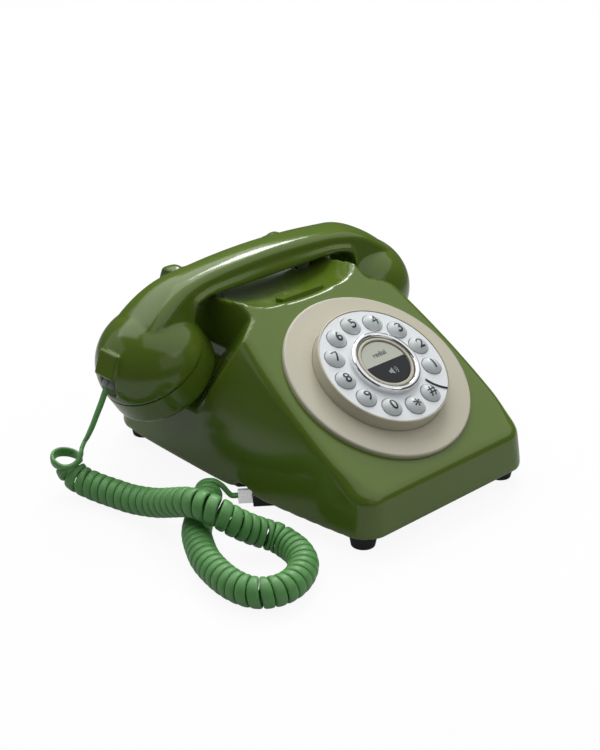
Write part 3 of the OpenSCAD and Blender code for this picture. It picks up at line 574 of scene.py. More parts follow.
@dataclass
class Panel:
    """The sloping dial panel, which carries the keypad."""

    slope: float = 30.35
    crease_y: float = -100.8
    crease_z: float = 30.6
    dial_y: float = -45.0

    def height(self, y: float) -> float:
        """Height of the panel at a place along Y."""
        return self.crease_z + (y - self.crease_y) * math.tan(math.radians(self.slope))

    def depth(self, z: float) -> float:
        """Place along Y where the panel has a height."""
        return self.crease_y + (z - self.crease_z) / math.tan(math.radians(self.slope))

    def place(self) -> Matrix:
        """Frame of the dial's middle, with Z square to the panel."""
        return at(0, self.dial_y, self.height(self.dial_y)) @ turned("X", self.slope)


@dataclass
class Housing:
    """The moulded upper housing with its cradle and side notches."""

    panel: Panel
    half_w: float = 76.7
    wide_y: float = 35.0
    bow_r: float = 711.0
    lean: float = 0.06
    barrel: float = 0.002
    front_y: float = -103.3
    back_y: float = 103.0
    back_lean: float = 0.06
    back_barrel: float = 0.0009
    lip_h: float = 22.6
    lip_lean: float = 2.5
    foot_h: float = 8.0
    wall: float = 2.5
    front_r: float = 12.0
    back_r: float = 20.0
    edge_r: float = 4.0
    crease_soft: float = 4.0
    corner_fade: float = 14.0
    top: float = 106.0
    cradle_y: float = 51.0
    valley_z: float = 88.4
    valley_r: float = 156.0
    valley_flat: float = 28.0
    valley_turn: float = 57.6
    valley_crown: float = 440.0
    valley_beyond: float = 14.0
    ridge_x: float = 44.0
    notch_x: float = 60.0
    notch_z: float = 88.2
    notch_yaw: float = 47.0
    notch_rise: float = 30.0
    notch_depth: float = 24.0
    horn_at: Triple = (39.6, 81.0, 95.0)
    horn_r: float = 7.0
    horn_h: float = 6.5
    horn_tilt: float = 10.0
    horn_round: float = 0.7
    dial_hole_r: float = 37.3
    bar_y: float = 16.8
    bar_tilt: float = -10.0
    bar_half: Pair = (15.8, 3.5)
    plunger_x: float = 34.0
    plunger_hole_r: float = 4.2
    jack_at: Triple = (-69.53, -20.5, 6.1)
    jack_yaw: float = -37.0
    arch_r: float = 6.55
    line_hole: tuple[Point, Point] = ((23.6, 85, 23.8), (36.4, 106, 36.2))
    ringer_hole: tuple[Point, Point] = ((-34.3, 85, 25.7), (-25.7, 106, 30.3))
    mesh_size: float = 1.3

    def side(self, y: float, z: float, inset: float) -> float:
        """Half width of the housing at a place and height.

        Args:
            y: Place in millimetres.
            z: Height in millimetres.
            inset: Inward offset in millimetres.

        Returns:
            The half width in millimetres.
        """
        h = z - self.foot_h
        bow = (y - self.wide_y) ** 2 / (2 * self.bow_r)
        return self.half_w - bow - self.lean * h - self.barrel * h * h - inset

    def front(self, z: float, inset: float) -> float:
        """Front of the housing at a height.

        Args:
            z: Height in millimetres.
            inset: Inward offset in millimetres.

        Returns:
            The place along Y in millimetres.
        """
        lip = self.front_y + self.lip_lean * (z - self.foot_h) / self.lip_h + inset
        slope = self.panel.depth(z) + inset / math.sin(math.radians(self.panel.slope))
        return soft_max(lip, slope, self.crease_soft)

    def back(self, z: float, inset: float) -> float:
        """Back of the housing at a height."""
        h = z - self.foot_h
        return self.back_y - self.back_lean * h - self.back_barrel * h * h - inset

    def outline(self, z: float, inset: float, steps: int = 16) -> list[Vector]:
        """Outline of the housing at a height.

        Args:
            z: Height in millimetres.
            inset: Inward offset in millimetres.
            steps: Points in each corner and along each side.

        Returns:
            Points round the outline, in metres.
        """
        t = ease((z - self.panel.crease_z) / self.corner_fade)
        s = math.sin(math.radians(self.panel.slope))
        rx = max(1.0, self.front_r + (self.edge_r - self.front_r) * t - inset)
        ry = max(1.0, self.front_r + (self.edge_r / s - self.front_r) * t - inset)
        rb = self.back_r - inset
        yf, yb = self.front(z, inset), self.back(z, inset)
        half: list[Pair] = []
        for k in range(steps + 1):
            u = math.cos(math.pi / 2 * k / steps)
            y = yf + ry * (1 - u)
            half.append((self.side(y, z, inset) - rx * (1 - math.sqrt(max(0.0, 1 - u * u))), y))
        for k in range(1, 2 * steps):
            y = yf + ry + (yb - rb - yf - ry) * k / (2 * steps)
            half.append((self.side(y, z, inset), y))
        for k in range(steps + 1):
            u = math.sin(math.pi / 2 * k / steps)
            y = yb - rb * (1 - u)
            half.append((self.side(y, z, inset) - rb * (1 - math.sqrt(max(0.0, 1 - u * u))), y))
        loop = half + [(-x, y) for x, y in reversed(half)]
        return [Vector((x * MM, y * MM, z * MM)) for x, y in loop]

    def loft(self, inset: float, drop: float) -> Piece:
        """Lofts the housing's outlines into a closed solid.

        Args:
            inset: Inward offset in millimetres.
            drop: How far the bottom is lowered.

        Returns:
            The solid.
        """
        crease = self.panel.crease_z
        heights = [self.foot_h - drop]
        soft = self.crease_soft
        heights += [self.foot_h + (crease - soft - self.foot_h) * k / 8 for k in range(1, 9)]
        heights += [crease - soft + 2 * soft * k / 20 for k in range(1, 21)]
        heights += [crease + soft + (self.top - crease - soft) * k / 48 for k in range(1, 49)]
        return skin("loft", [self.outline(z, inset) for z in heights])

    def valley(self, extra: float) -> Piece:
        """The tool that cuts the cradle's valley.

        Args:
            extra: Outward offset in millimetres.

        Returns:
            The tool.
        """
        edge = self.ridge_x + self.valley_beyond
        xs = [edge * k / 48 for k in range(-48, 49)]
        profile = [(0.01, -edge)]
        for x in xs:
            lift = x * x / self.valley_crown + max(0.0, abs(x) - self.valley_flat) ** 2 / self.valley_turn
            profile.append((self.valley_r + extra - lift, x))
        profile.append((0.01, edge))
        place = at(0, self.cradle_y, self.valley_z + self.valley_r) @ turned("Y", 90)
        return revolve("valley", profile, place, 256)

    def horn(self, side: int) -> Piece:
        """The rounded tip of one rear horn of the cradle.

        Args:
            side: 1 on the right, -1 on the left.

        Returns:
            The tip.
        """
        turns = [math.radians(180 * k / 24 - 90) for k in range(25)]
        p = self.horn_round
        profile = [
            (max(0.001, self.horn_r * math.cos(t) ** p), self.horn_h * math.copysign(abs(math.sin(t)) ** p, t))
            for t in turns
        ]
        x, y, z = self.horn_at
        return revolve("horn", profile, at(side * x, y, z) @ turned("Y", side * self.horn_tilt), 48)

    def notch(self, side: int, extra: float, handset: "Handset") -> Piece:
        """The tool that cuts one side notch.

        Args:
            side: 1 on the right, -1 on the left.
            extra: Outward offset in millimetres.
            handset: The handset, whose cap the notch clears.

        Returns:
            The tool.
        """
        notch_y = self.panel.depth(self.notch_z)
        tool = box_tool("notch", (self.ridge_x - extra, -100, 0), (140, 200, 200))
        for y, yaw in ((notch_y, self.notch_yaw), (2 * self.cradle_y - notch_y, -self.notch_yaw)):
            place = at(self.notch_x, y, self.notch_z) @ turned("Z", yaw) @ turned("Y", -self.notch_rise)
            cut(tool, box_tool("beyond", (-extra, -FAR, -FAR), (FAR, FAR, FAR), place), "INTERSECT")
        floor = box_tool("floor", (-FAR, -FAR, -self.notch_depth - extra), (FAR, FAR, FAR), handset.bulb(1))
        cut(tool, floor, "INTERSECT")
        if side < 0:
            tool.data.transform(Matrix.Diagonal((-1, 1, 1, 1)))
            recalculate(tool)
        return tool

    def pierce(self, body: Piece) -> None:
        """Cuts the openings for the keypad, bar, plungers and sockets.

        Args:
            body: The hollow housing.
        """
        cut(body, rod_tool("dial_hole", self.dial_hole_r, -6, 6, self.panel.place(), 96))
        floor = self.valley_z + self.valley_r - math.sqrt(self.valley_r**2 - (self.bar_y - self.cradle_y) ** 2)
        bar = at(0, self.bar_y, floor) @ turned("X", self.bar_tilt)
        long, wide = self.bar_half
        cut(body, box_tool("bar_hole", (-long, -wide, -6), (long, wide, 6), bar))
        for side in (-1, 1):
            place = at(side * self.plunger_x, self.cradle_y, 0)
            cut(body, rod_tool("plunger_hole", self.plunger_hole_r, 78, 98, place, 32))
        jack = at(*self.jack_at) @ turned("Z", self.jack_yaw)
        cut(body, rod_tool("arch", self.arch_r, -14, 14, jack @ turned("Y", 90), 48))
        cut(body, box_tool("line_hole", *self.line_hole))
        cut(body, box_tool("ringer_hole", *self.ringer_hole))

    def finish(self, handset: "Handset", finishes: Finishes) -> Piece:
        """Builds, softens and dresses the hollow housing.

        Args:
            handset: The handset, whose caps the notches clear.
            finishes: The materials.

        Returns:
            The finished housing, riding on the base.
        """
        body = self.loft(0.0, 0.0)
        cut(body, self.valley(0.0))
        for side in (-1, 1):
            cut(body, self.horn(side), "UNION")
        inside = self.loft(self.wall, 1.0)
        cut(inside, self.valley(self.wall))
        for side in (-1, 1):
            cut(body, self.notch(side, 0.0, handset))
            cut(inside, self.notch(side, self.wall, handset))
        cut(body, inside)
        body.name = "housing_shell"
        self.pierce(body)
        soften(body, self.mesh_size * MM, 4)
        finishes.dress(body, Finish.GREEN)
        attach(body, "base")
        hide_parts("upper_housing")
        return body


@dataclass
class Handset:
    """The handset: an arched handle between two bulbs."""

    y: float = 51.0
    bulb_x: float = 80.0
    bulb_z: float = 66.0
    bulb_r: float = 32.0
    dome_rise: float = 30.0
    tilt: float = 33.0
    under: float = 98.27
    top: float = 114.0
    arch_r: float = 450.0
    w_top: float = 24.6
    w_bottom: float = 30.0
    flare: float = 6.0
    edge_r: float = 7.2
    under_r: float = 4.0
    rest_x: float = 44.0
    neck_x: float = 58.0
    neck_r: float = 50.0
    end_x: float = 95.0
    jack_x: float = 107.0
    jack_z: float = 66.0
    jack_tilt: float = 58.0
    hood_x: float = 109.3
    hood_z: float = 76.6
    hood_tilt: float = 71.0
    hood_box: tuple[Point, Point] = ((-11.5, -8, -8), (3, 8, 1))
    jack_hole: tuple[Point, Point] = ((-16, -5.55, -4.8), (14.2, 5.55, 4.8))
    bulb_step: float = 0.15
    overlap: float = 2.0
    under_sag: float = 0.018
    under_drop: float = 2.2
    crown_round: float = 0.8
    mesh_size: float = 0.75

    def bulb(self, side: int) -> Matrix:
        """Frame of one bulb, with Z away from its cap's face."""
        return at(side * self.bulb_x, self.y, self.bulb_z) @ turned("Y", side * self.tilt)

    def jack(self) -> Matrix:
        """Frame of the jack's mouth, with -X pointing out of it."""
        return at(-self.jack_x, self.y, self.jack_z) @ turned("Y", -self.jack_tilt)

    def hood(self) -> Matrix:
        """Frame of the jack's hood, with Z square to its face and -X towards its mouth."""
        return at(-self.hood_x, self.y, self.hood_z) @ turned("Y", -self.hood_tilt)

    def section(self, x: float, steps: int = 8) -> list[Vector]:
        """Section of the handle at a place along X.

        Args:
            x: Place in millimetres.
            steps: Points in each rounded edge.

        Returns:
            Points round the section, in metres.
        """
        far = max(0.0, abs(x) - self.neck_x)
        top = self.top - x * x / (2 * self.arch_r) - far**2 / (2 * self.neck_r)
        sag = max(0.0, abs(x) - self.rest_x - self.overlap)
        low = self.under - self.under_sag * sag**2 - far**2 / self.under_drop
        if far > 0:
            low = max(low, self.bulb_z + (self.bulb_x - abs(x)) * math.tan(math.radians(self.tilt)) + self.overlap)
        f = ease((abs(x) - self.rest_x + self.overlap) / (self.end_x - self.rest_x + self.overlap))
        wt, wb = self.w_top / 2 + self.flare * f, self.w_bottom / 2 + self.flare * f
        r, rb = min(self.edge_r * (1 + f / 2), 0.7 * (top - low)), min(self.under_r, 0.25 * (top - low))
        crown = arc(0, 0, 1, 180, 0, 2 * steps + 1)
        n = self.crown_round
        loop = [(wt * math.copysign(abs(p) ** n, p), top - r + r * abs(z) ** n) for p, z in crown]
        loop += arc(wb - rb, low + rb, rb, 0, -90, steps // 2) + arc(-wb + rb, low + rb, rb, -90, -180, steps // 2)
        return [Vector((x * MM, (self.y + p) * MM, z * MM)) for p, z in loop]

    def finish(self, finishes: Finishes) -> Piece:
        """Builds, softens and dresses the body.

        Args:
            finishes: The materials.

        Returns:
            The finished body, riding on the handset.
        """
        xs = [self.end_x * k / 95 for k in range(-95, 96)]
        body = skin("handset_shell", [self.section(x) for x in xs])
        for side in (-1, 1):
            turns = [math.radians(90 * k / 48) for k in range(49)]
            low = self.bulb_step
            dome = [(max(0.001, self.bulb_r * math.cos(t)), max(low, self.dome_rise * math.sin(t))) for t in turns]
            cut(body, revolve("bulb", [(0.001, low)] + dome, self.bulb(side), 128), "UNION")
        cut(body, box_tool("hood", *self.hood_box, self.hood()), "UNION")
        cut(body, box_tool("jack_hole", *self.jack_hole, self.jack()))
        soften(body, self.mesh_size * MM, 5)
        finishes.dress(body, Finish.GREEN)
        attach(body, "handset")
        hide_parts("handset_body")
        return body


@dataclass
class Keypad:
    """Printed marks of the keys, set on the dial's frame."""

    panel: Panel
    circle_r: float = 29.2
    start: float = -23.5
    step: float = 29.04
    key_r: float = 5.65
    dome_h: float = 2.8
    dome_base: float = 11.0
    half_top: float = 12.8
    digit_size: float = 8.6
    star_size: float = 11.0
    digit_weight: float = 0.14
    word_size: float = 4.3
    word_weight: float = 0.03
    word_y: float = 6.2
    sign_y: float = -6.4
    lift: float = 0.1
    cone: tuple[Pair, ...] = ((-2.6, -0.9), (-1.4, -0.9), (0.4, -2.3), (0.4, 2.3), (-1.4, 0.9), (-2.6, 0.9))
    waves: Pair = (2.0, 3.2)
    wave_x: float = 0.2
    wave_half: float = 0.22
    wave_turn: float = 42.0
    marks: tuple[str, ...] = ("1", "2", "3", "4", "5", "6", "7", "8", "9", "0", "*", "#")
    names: tuple[str, ...] = ("1", "2", "3", "4", "5", "6", "7", "8", "9", "0", "star", "hash")

    def text(self, name: str, words: str, size: float, weight: float) -> Piece:
        """Makes flat lettering round the origin.

        Args:
            name: Name of the piece.
            words: The letters.
            size: Letter size in millimetres.
            weight: Widening of each stroke's edge in millimetres.

        Returns:
            A mesh piece with the lettering's middle at the origin.
        """
        bpy.ops.object.select_all(action="DESELECT")
        bpy.ops.object.text_add()
        piece = bpy.context.object
        piece.name = name
        piece.data.body = words
        piece.data.size = size * MM
        piece.data.offset = weight * MM
        piece.data.resolution_u = 6
        bpy.ops.object.convert(target="MESH")
        piece = bpy.context.object
        bpy.ops.object.mode_set(mode="EDIT")
        bpy.ops.mesh.select_all(action="SELECT")
        bpy.ops.mesh.quads_convert_to_tris()
        bpy.ops.mesh.subdivide(number_cuts=5)
        bpy.ops.object.mode_set(mode="OBJECT")
        points = np.array([v.co for v in piece.data.vertices])
        middle = (points.min(0) + points.max(0)) / 2
        piece.data.transform(Matrix.Translation(-Vector(middle)))
        return piece

    def dome(self, x: float, y: float) -> float:
        """Height of a key's dome at a place from its middle."""
        r = (self.key_r**2 + self.dome_h**2) / (2 * self.dome_h)
        return self.dome_base + self.dome_h - r + math.sqrt(r * r - x * x - y * y)

    def lay(self, piece: Piece, x: float, y: float, height: Callable[[float, float], float]) -> None:
        """Lays flat lettering on a surface of the dial.

        Args:
            piece: The lettering.
            x: Place across the panel.
            y: Place up the panel.
            height: Height of the surface at a place from the lettering's middle.
        """
        place = self.panel.place()
        for v in piece.data.vertices:
            px, py = v.co.x / MM, v.co.y / MM
            v.co = place @ Vector(((x + px) * MM, (y + py) * MM, (height(px, py) + self.lift) * MM))

    def build(self, finishes: Finishes) -> None:
        """Prints all marks.

        Args:
            finishes: The materials.
        """
        for k, (mark, name) in enumerate(zip(self.marks, self.names)):
            turn = math.radians(self.start + self.step * k)
            size = self.star_size if mark == "*" else self.digit_size
            # The 4 keeps its own weight, because its small inside would close
            weight = 0.0 if mark == "4" else self.digit_weight
            piece = self.text(f"mark_{name}", mark, size, weight)
            self.lay(piece, self.circle_r * math.cos(turn), self.circle_r * math.sin(turn), self.dome)
            finishes.dress(piece, Finish.PRINT)
            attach(piece, f"key_{name}")
            LOG.info("made %s", piece.name)
        self.redial(finishes)
        self.speaker(finishes)

    def redial(self, finishes: Finishes) -> None:
        """Prints the word on the upper half button.

        Args:
            finishes: The materials.
        """
        word = self.text("mark_redial", "redial", self.word_size, self.word_weight)
        self.lay(word, 0, self.word_y, lambda x, y: self.half_top)
        finishes.dress(word, Finish.PRINT)
        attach(word, "redial")
        LOG.info("made %s", word.name)

    def speaker(self, finishes: Finishes) -> None:
        """Prints the loudspeaker sign.

        Args:
            finishes: The materials.
        """
        points = list(self.cone)
        faces: list[tuple[int, ...]] = [tuple(range(len(points)))]
        for r in self.waves:
            first = len(points)
            outer = arc(self.wave_x, 0, r + self.wave_half, -self.wave_turn, self.wave_turn, 10)
            inner = arc(self.wave_x, 0, r - self.wave_half, self.wave_turn, -self.wave_turn, 10)
            points += outer + inner
            count = len(outer)
            faces += [(first + k, first + k + 1, first + 2 * count - 2 - k, first + 2 * count - 1 - k)
                      for k in range(count - 1)]
        piece = mesh_piece("mark_speaker", [(x * MM, y * MM, 0.0) for x, y in points], faces)
        self.lay(piece, 0, self.sign_y, lambda x, y: self.half_top)
        finishes.dress(piece, Finish.PALE_PRINT)
        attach(piece, "speaker")
        LOG.info("made %s", piece.name)


@dataclass
class CurlyCord:
    """The curly cord: a straight lead, a coil and a straight lead in one strip."""

    cord_w: float = 4.2
    cord_t: float = 2.4
    coil_r: float = 8.0
    curl_gap: float = 0.4
    squeeze_gap: float = 0.35
    bend_open: float = 0.12
    bend_most: float = 0.6
    first_open: float = 0.9
    first_end: float = 16.0
    near_open: float = 0.22
    near_end: float = 160.0
    near_fade: float = 40.0
    widest: float = 1.45
    oval_round: float = 0.72
    first_wide: float = 0.2
    first_turns: float = 1.3
    lead_twist: float = 1.5
    crease: float = 60.0
    sides: int = 16
    lead_d: float = 3.2
    lead_w: float = 3.8
    steps: int = 36
    route: tuple[Triple, ...] = (
        (-136.8, 56.7, 26), (-135, 58.8, 18.5), (-133.8, 53, 11.4), (-130, 42, 8.6), (-126.8, 28.6, 8.6),
        (-124, 14.4, 9.6), (-121.6, -1.7, 13.5), (-121.3, -15.4, 19.4), (-121.2, -27.8, 25), (-120, -38, 27.2),
        (-117, -47, 26), (-112, -53.5, 21.5), (-105.5, -58, 16.5), (-99, -62, 12.5), (-94, -67, 10),
        (-92.6, -74.6, 8.6), (-94.2, -83.8, 8.6), (-99, -92.8, 8.6), (-106.5, -99, 8.6), (-115, -102.4, 8.6),
        (-123.6, -102.6, 8.6), (-131.4, -99, 8.6), (-136, -92.4, 8.6), (-137.6, -83.2, 8.6), (-136.7, -71.8, 8.6),
        (-133.2, -57.8, 8.6), (-127.4, -45.7, 8.6), (-120.3, -34.4, 8.6), (-112, -26, 8.6), (-102, -17, 8.6),
        (-94, -10.5, 8.6), (-88, -5.5, 8.6),
    )
    start_side: Triple = (0.66, -0.61, 0.0)
    end_side: Triple = (0.0, 0.0, 1.0)
    hs_tail: Triple = (-111.239, 51.0, 59.216)
    hs_dir: Triple = (-0.52992, 0.0, -0.84805)
    lead: tuple[Triple, ...] = (
        (-115.6, 51.2, 51), (-118.8, 52, 44), (-121.2, 53, 38), (-123.6, 54.6, 32), (-125.2, 55.6, 28.8),
    )
    base_tail: Triple = (-75.923, -15.686, 6.1)
    base_dir: Triple = (-0.79864, 0.60182, 0.0)
    base_lead: tuple[Triple, ...] = ((-80.2, -12.6, 8), (-82.8, -10.6, 12.4))

    @staticmethod
    def spline(points: np.ndarray, per: int) -> np.ndarray:
        """Runs a smooth curve through points.

        Args:
            points: The points, one a row.
            per: Steps between two points.

        Returns:
            Points on the curve, with the last one.
        """
        n = len(points) - 1
        out = []
        for i in range(n):
            a, b, c, d = points[max(i - 1, 0)], points[i], points[min(i + 1, n)], points[min(i + 2, n)]
            for k in range(per):
                t = k / per
                out.append(0.5 * (2 * b + (c - a) * t + (2 * a - 5 * b + 4 * c - d) * t**2
                                  + (3 * b - 3 * c + d - a) * t**3))
        return np.array(out + [points[n]])

    @staticmethod
    def unit(rows: np.ndarray) -> np.ndarray:
        """Rows scaled to length one."""
        return rows / np.linalg.norm(rows, axis=-1, keepdims=True)

    def coil(self) -> tuple[np.ndarray, np.ndarray, np.ndarray]:
        """Computes the curls of the strip.

        Returns:
            Middles, outward axes and axes along the coil.
        """
        axis = self.spline(np.array(self.route, float), 8)
        n = len(axis)
        ends = [axis[min(i + 1, n - 1)] - axis[max(i - 1, 0)] for i in range(n)]
        t = self.unit(np.array(ends))
        bend = []
        for i in range(n):
            a, b = max(i - 4, 0), min(i + 4, n - 1)
            bend.append(np.linalg.norm(t[b] - t[a]) / np.linalg.norm(axis[b] - axis[a]))
        side = [np.array([1.0, 0.0, 0.0])]
        for i in range(n):
            v = side[-1] - (side[-1] @ t[i]) * t[i]
            side.append(v / np.linalg.norm(v))
        a = np.array(side[1:])
        run = np.linalg.norm(np.diff(axis, axis=0), axis=1)
        gone = np.concatenate([[0.0], np.cumsum(run)])
        bent = np.minimum(self.bend_most, self.coil_r * np.array(bend))
        step = (self.cord_w + self.curl_gap) / (1 - self.bend_open * bent)
        near = self.near_open * np.clip((self.near_end - gone) / self.near_fade, 0, 1)
        step *= 1 + self.first_open * np.maximum(0, 1 - gone / self.first_end) + near
        raw = np.concatenate([[0.0], np.cumsum(run / step[1:])])

        def angle(i: int, v: Point) -> float:
            """Turn of a direction about the coil's axis, in parts of a turn."""
            v = np.array(v)
            return math.atan2(v @ np.cross(t[i], a[i]), v @ a[i]) / (2 * math.pi)

        first = angle(0, self.start_side)
        part = angle(n - 1, self.end_side) - first
        turns = math.floor(raw[-1] - 1) + part - math.floor(part)
        reach = raw * turns / raw[-1]
        v = np.linspace(0, turns, int(round(turns * self.steps)) + 1)
        mid, along, across = (
            np.stack([np.interp(v, reach, rows[:, k]) for k in range(3)], 1) for rows in (axis, t, a)
        )
        along, across = self.unit(along), self.unit(across)
        up = np.cross(along, across)
        w = 2 * math.pi * (first + v)[:, None]
        out = np.cos(w) * across + np.sin(w) * up
        wide = 1 + self.first_wide * np.maximum(0, 1 - v / self.first_turns)[:, None]
        return mid + wide * (self.coil_r - self.cord_t / 2) * out, out, along

    def strip(self) -> tuple[np.ndarray, np.ndarray, np.ndarray, np.ndarray]:
        """Joins the leads to the coil.

        Returns:
            Middles, outward axes, width axes and half widths, from the handset to the base.
        """
        c, o, t = self.coil()
        start = -np.cross(t[0], o[0])
        end = np.cross(t[-1], o[-1])
        tail, base = np.array(self.hs_tail), np.array(self.base_tail)
        lead = self.spline(np.array([tail, tail + self.lead_d * np.array(self.hs_dir), *self.lead,
                                     c[0] + self.lead_d * start, c[0]]), 10)[:-1]
        back = self.spline(np.array([c[-1], c[-1] + self.lead_d * end, *reversed(self.base_lead),
                                     base + self.lead_d * np.array(self.base_dir), base]), 10)[1:]
        points = np.concatenate([lead, c, back])
        run = self.unit(np.gradient(points, axis=0))
        twist = np.linspace(0, 1, len(lead))[:, None] ** self.lead_twist
        untwist = np.linspace(0, 1, len(back))[:, None]
        flat = np.array([self.base_dir[1], -self.base_dir[0], 0.0])
        width = np.concatenate([(1 - twist) * np.array([0.0, 1.0, 0.0]) + twist * t[0], t,
                                (1 - untwist) * t[-1] + untwist * flat])
        width = self.unit(width - (width * run).sum(1, keepdims=True) * run)
        step = np.full(len(c) + 2 * self.steps, 99.0)
        step[self.steps:-2 * self.steps] = np.linalg.norm(c[self.steps:] - c[:-self.steps], axis=1)
        close = np.minimum(step[self.steps:-self.steps], step[:-2 * self.steps]) - self.squeeze_gap
        half = np.concatenate([np.linspace(self.lead_w / 2, self.cord_w / 2, len(lead)),
                               np.minimum(self.widest * self.cord_w, close) / 2,
                               np.linspace(self.cord_w / 2, self.lead_w / 2, len(back))])
        return points, np.cross(width, run), width, half

    def build(self, finishes: Finishes) -> Piece:
        """Args:
            finishes: The materials.

        Returns:
            The cord.
        """
        points, out, width, half = self.strip()
        r = self.cord_t / 2
        turns = [2 * math.pi * (k + 0.5) / self.sides for k in range(self.sides)]
        oval = [tuple(math.copysign(abs(c) ** self.oval_round, c) for c in (math.cos(t), math.sin(t))) for t in turns]
        rows = zip(points, out, width, half)
        piece = skin("curly_cord", [[(p + w * h * cx + o * r * cy) * MM for cx, cy in oval] for p, o, w, h in rows])
        select_only(piece)
        bpy.ops.object.shade_smooth_by_angle(angle=math.radians(self.crease))
        finishes.dress(piece, Finish.CORD)
        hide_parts("cord_coil", "handset_lead", "base_lead")
        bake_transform(piece)
        return piece


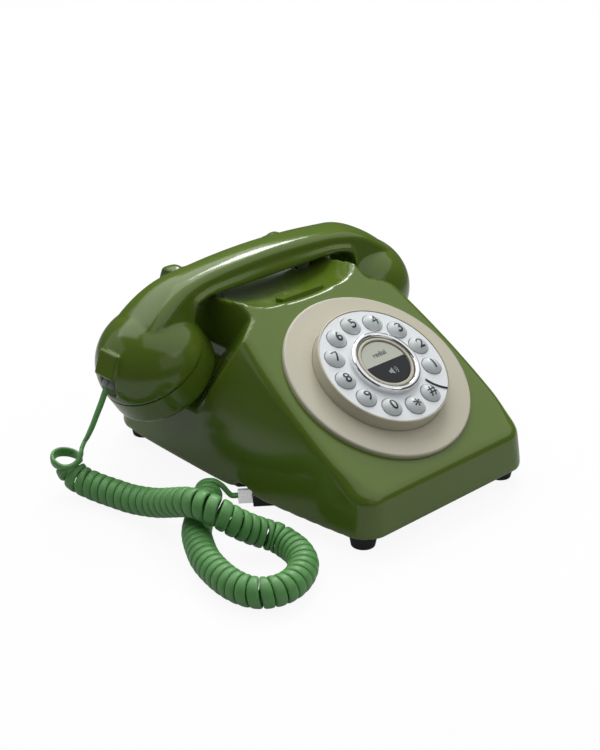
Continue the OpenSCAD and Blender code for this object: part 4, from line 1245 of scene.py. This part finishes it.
@dataclass
class Studio:
    """Camera, floor and soft lights.

    The floor shows white to the camera and through clear pieces, and mirrors
    show it pale near the telephone. For the light it is a pale table that
    fades into dark surroundings.
    """

    eye: Triple = (-0.56444, -0.59474, 0.44605)
    look: Triple = (0.610, 0.661, -0.4365)
    lens: float = 77.0
    sensor: float = 36.0
    floor_size: float = 8.0
    table: Pair = (0.26, 0.42)
    near_pale: float = 0.46
    far_pale: float = 0.12
    seen_pale: float = 0.9
    seen_glow: float = 0.92
    mirror_glow: float = 0.25
    sky: float = 0.06
    sky_colour: tuple[float, ...] = (0.9, 0.95, 1.0, 1.0)
    sky_mirror: float = 0.02
    middle: Triple = (0.0, 0.0, 0.06)
    lamps: tuple[tuple[str, Point, Pair, float], ...] = (
        ("ceiling", (0.4, -0.4, 1.55), (2.8, 2.8), 21.0),
        ("key", (0.86, 0.59, 1.21), (0.4, 0.4), 6.5),
        ("back", (0.1, 0.85, 1.45), (2.2, 1.4), 18.0),
        ("left", (-1.1, 1.3, 0.7), (1.6, 1.0), 2.5),
        ("front", (0.0, -1.9, 0.8), (2.0, 1.0), 2.2),
    )

    def camera(self) -> None:
        """Places the camera as the photograph was taken."""
        data = bpy.data.cameras.new("camera")
        data.lens = self.lens
        data.sensor_width = self.sensor
        data.clip_start = 0.05
        bpy.context.scene.camera = self.hang("camera", data, self.eye, Vector(self.look))

    @staticmethod
    def hang(name: str, data: bpy.types.ID, place: Point, direction: Vector) -> Piece:
        """Adds a camera or a lamp.

        Args:
            name: Its name.
            data: The camera's or the lamp's settings.
            place: Where it hangs, in metres.
            direction: Where it faces.

        Returns:
            The new camera or lamp.
        """
        holder = bpy.data.objects.new(name, data)
        bpy.context.scene.collection.objects.link(holder)
        holder.location = place
        holder.rotation_mode = "QUATERNION"
        holder.rotation_quaternion = direction.to_track_quat("-Z", "Y")
        return holder

    def lamp(self, name: str, place: Point, size: Pair, power: float) -> None:
        """Adds a soft box that faces the telephone.

        Args:
            name: Name of the lamp.
            place: Where it hangs, in metres.
            size: Its width and height.
            power: Its power in watts.
        """
        data = bpy.data.lights.new(name, "AREA")
        data.shape = "RECTANGLE"
        data.size, data.size_y = size
        data.energy = power
        self.hang(name, data, place, Vector(self.middle) - Vector(place))

    def floor(self) -> None:
        """Lays the white floor, which keeps the object's shadow."""
        bpy.ops.object.select_all(action="DESELECT")
        bpy.ops.mesh.primitive_plane_add(size=self.floor_size)
        floor = bpy.context.object
        floor.name = "floor"
        sh = Shader("white_floor")
        camera, clear, mirror = rays(sh.tree)
        far = sh.node("ShaderNodeVectorMath", {"operation": "LENGTH"}, _0=sh.coordinates())
        reach = sh.node("ShaderNodeMapRange", _0=far.outputs["Value"], _1=self.table[0], _2=self.table[1])
        fade = Value(sh.tree, reach.outputs[0])
        pale = (self.near_pale - fade * (self.near_pale - self.far_pale)) * (1 - camera) + camera * self.seen_pale
        matt = sh.node("ShaderNodeBsdfDiffuse", Color=pale)
        glow = sh.node("ShaderNodeEmission", Color=(1, 1, 1, 1), Strength=1.0)
        seen = (camera + clear) * self.seen_glow + mirror * (1 - fade) * self.mirror_glow
        mixed = sh.node("ShaderNodeMixShader", _0=seen, _1=matt.outputs[0], _2=glow.outputs[0])
        floor.data.materials.append(sh.surface(mixed.outputs[0]))

    def world(self) -> None:
        """Sets a soft grey surround that shows white to the camera and through clear pieces."""
        sh = Shader("studio", world=True)
        camera, clear, mirror = rays(sh.tree)
        dim = sh.node("ShaderNodeBackground", Color=self.sky_colour, Strength=self.sky)
        white = sh.node("ShaderNodeBackground", Color=(1, 1, 1, 1), Strength=1.0)
        seen = camera + clear + mirror * self.sky_mirror
        mixed = sh.node("ShaderNodeMixShader", _0=seen, _1=dim.outputs[0], _2=white.outputs[0])
        bpy.context.scene.world = sh.surface(mixed.outputs[0])

    def build(self) -> None:
        """Sets up the whole studio."""
        scene = bpy.context.scene
        scene.view_settings.view_transform = "Standard"
        self.camera()
        self.floor()
        self.world()
        for name, place, size, power in self.lamps:
            self.lamp(name, place, size, power)


NODE_FINISHES: dict[Finish, tuple[str, ...]] = {
    Finish.GREEN: ("mouth_cap", "ear_cap", "recall_bar"),
    Finish.BEIGE: ("dial_surround", "dial_cup", "centre_bezel"),
    Finish.HALF_KEY: ("redial_key",),
    Finish.WHITE: ("dial_face",),
    Finish.KEY: tuple(f"key_{k}" for k in Keypad.names),
    Finish.DARK: ("speaker_key", "finger_stop", "base_jack", "line_jack", "handset_jack", "hook_switch",
                  "recall_switch", "microphone", "receiver", "loudspeaker", "ringer_switch", "ringer_knob"),
    Finish.CHROME: ("chrome_ring",),
    Finish.RUBBER: ("rubber_feet", "keypad_mat"),
    Finish.BASE: ("base_plate",),
    Finish.NATURAL: ("hook_yoke",),
    Finish.BOARD: ("keypad_board", "main_board", "hook_board"),
    Finish.STEEL: ("base_screws", "keypad_screws", "hook_screws", "board_screws", "hook_springs", "ballast_plate",
                   "handset_weight"),
    Finish.CLEAR: ("handset_plug", "base_plug"),
}


def main() -> None:
    """Builds the telephone's looks in order."""
    logging.basicConfig(level=logging.INFO)
    for item in list(bpy.data.objects):
        bpy.data.objects.remove(item)
    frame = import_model()
    finishes = Finishes()
    Studio().build()
    LOG.info("made %s", CurlyCord().build(finishes).name)
    for finish, names in NODE_FINISHES.items():
        for name in names:
            finishes.dress(frame["nodes"][name], finish)
    panel = Panel()
    handset = Handset()
    LOG.info("made %s", Housing(panel).finish(handset, finishes).name)
    LOG.info("made %s", handset.finish(finishes).name)
    Keypad(panel).build(finishes)


if __name__ == "__main__":
    main()
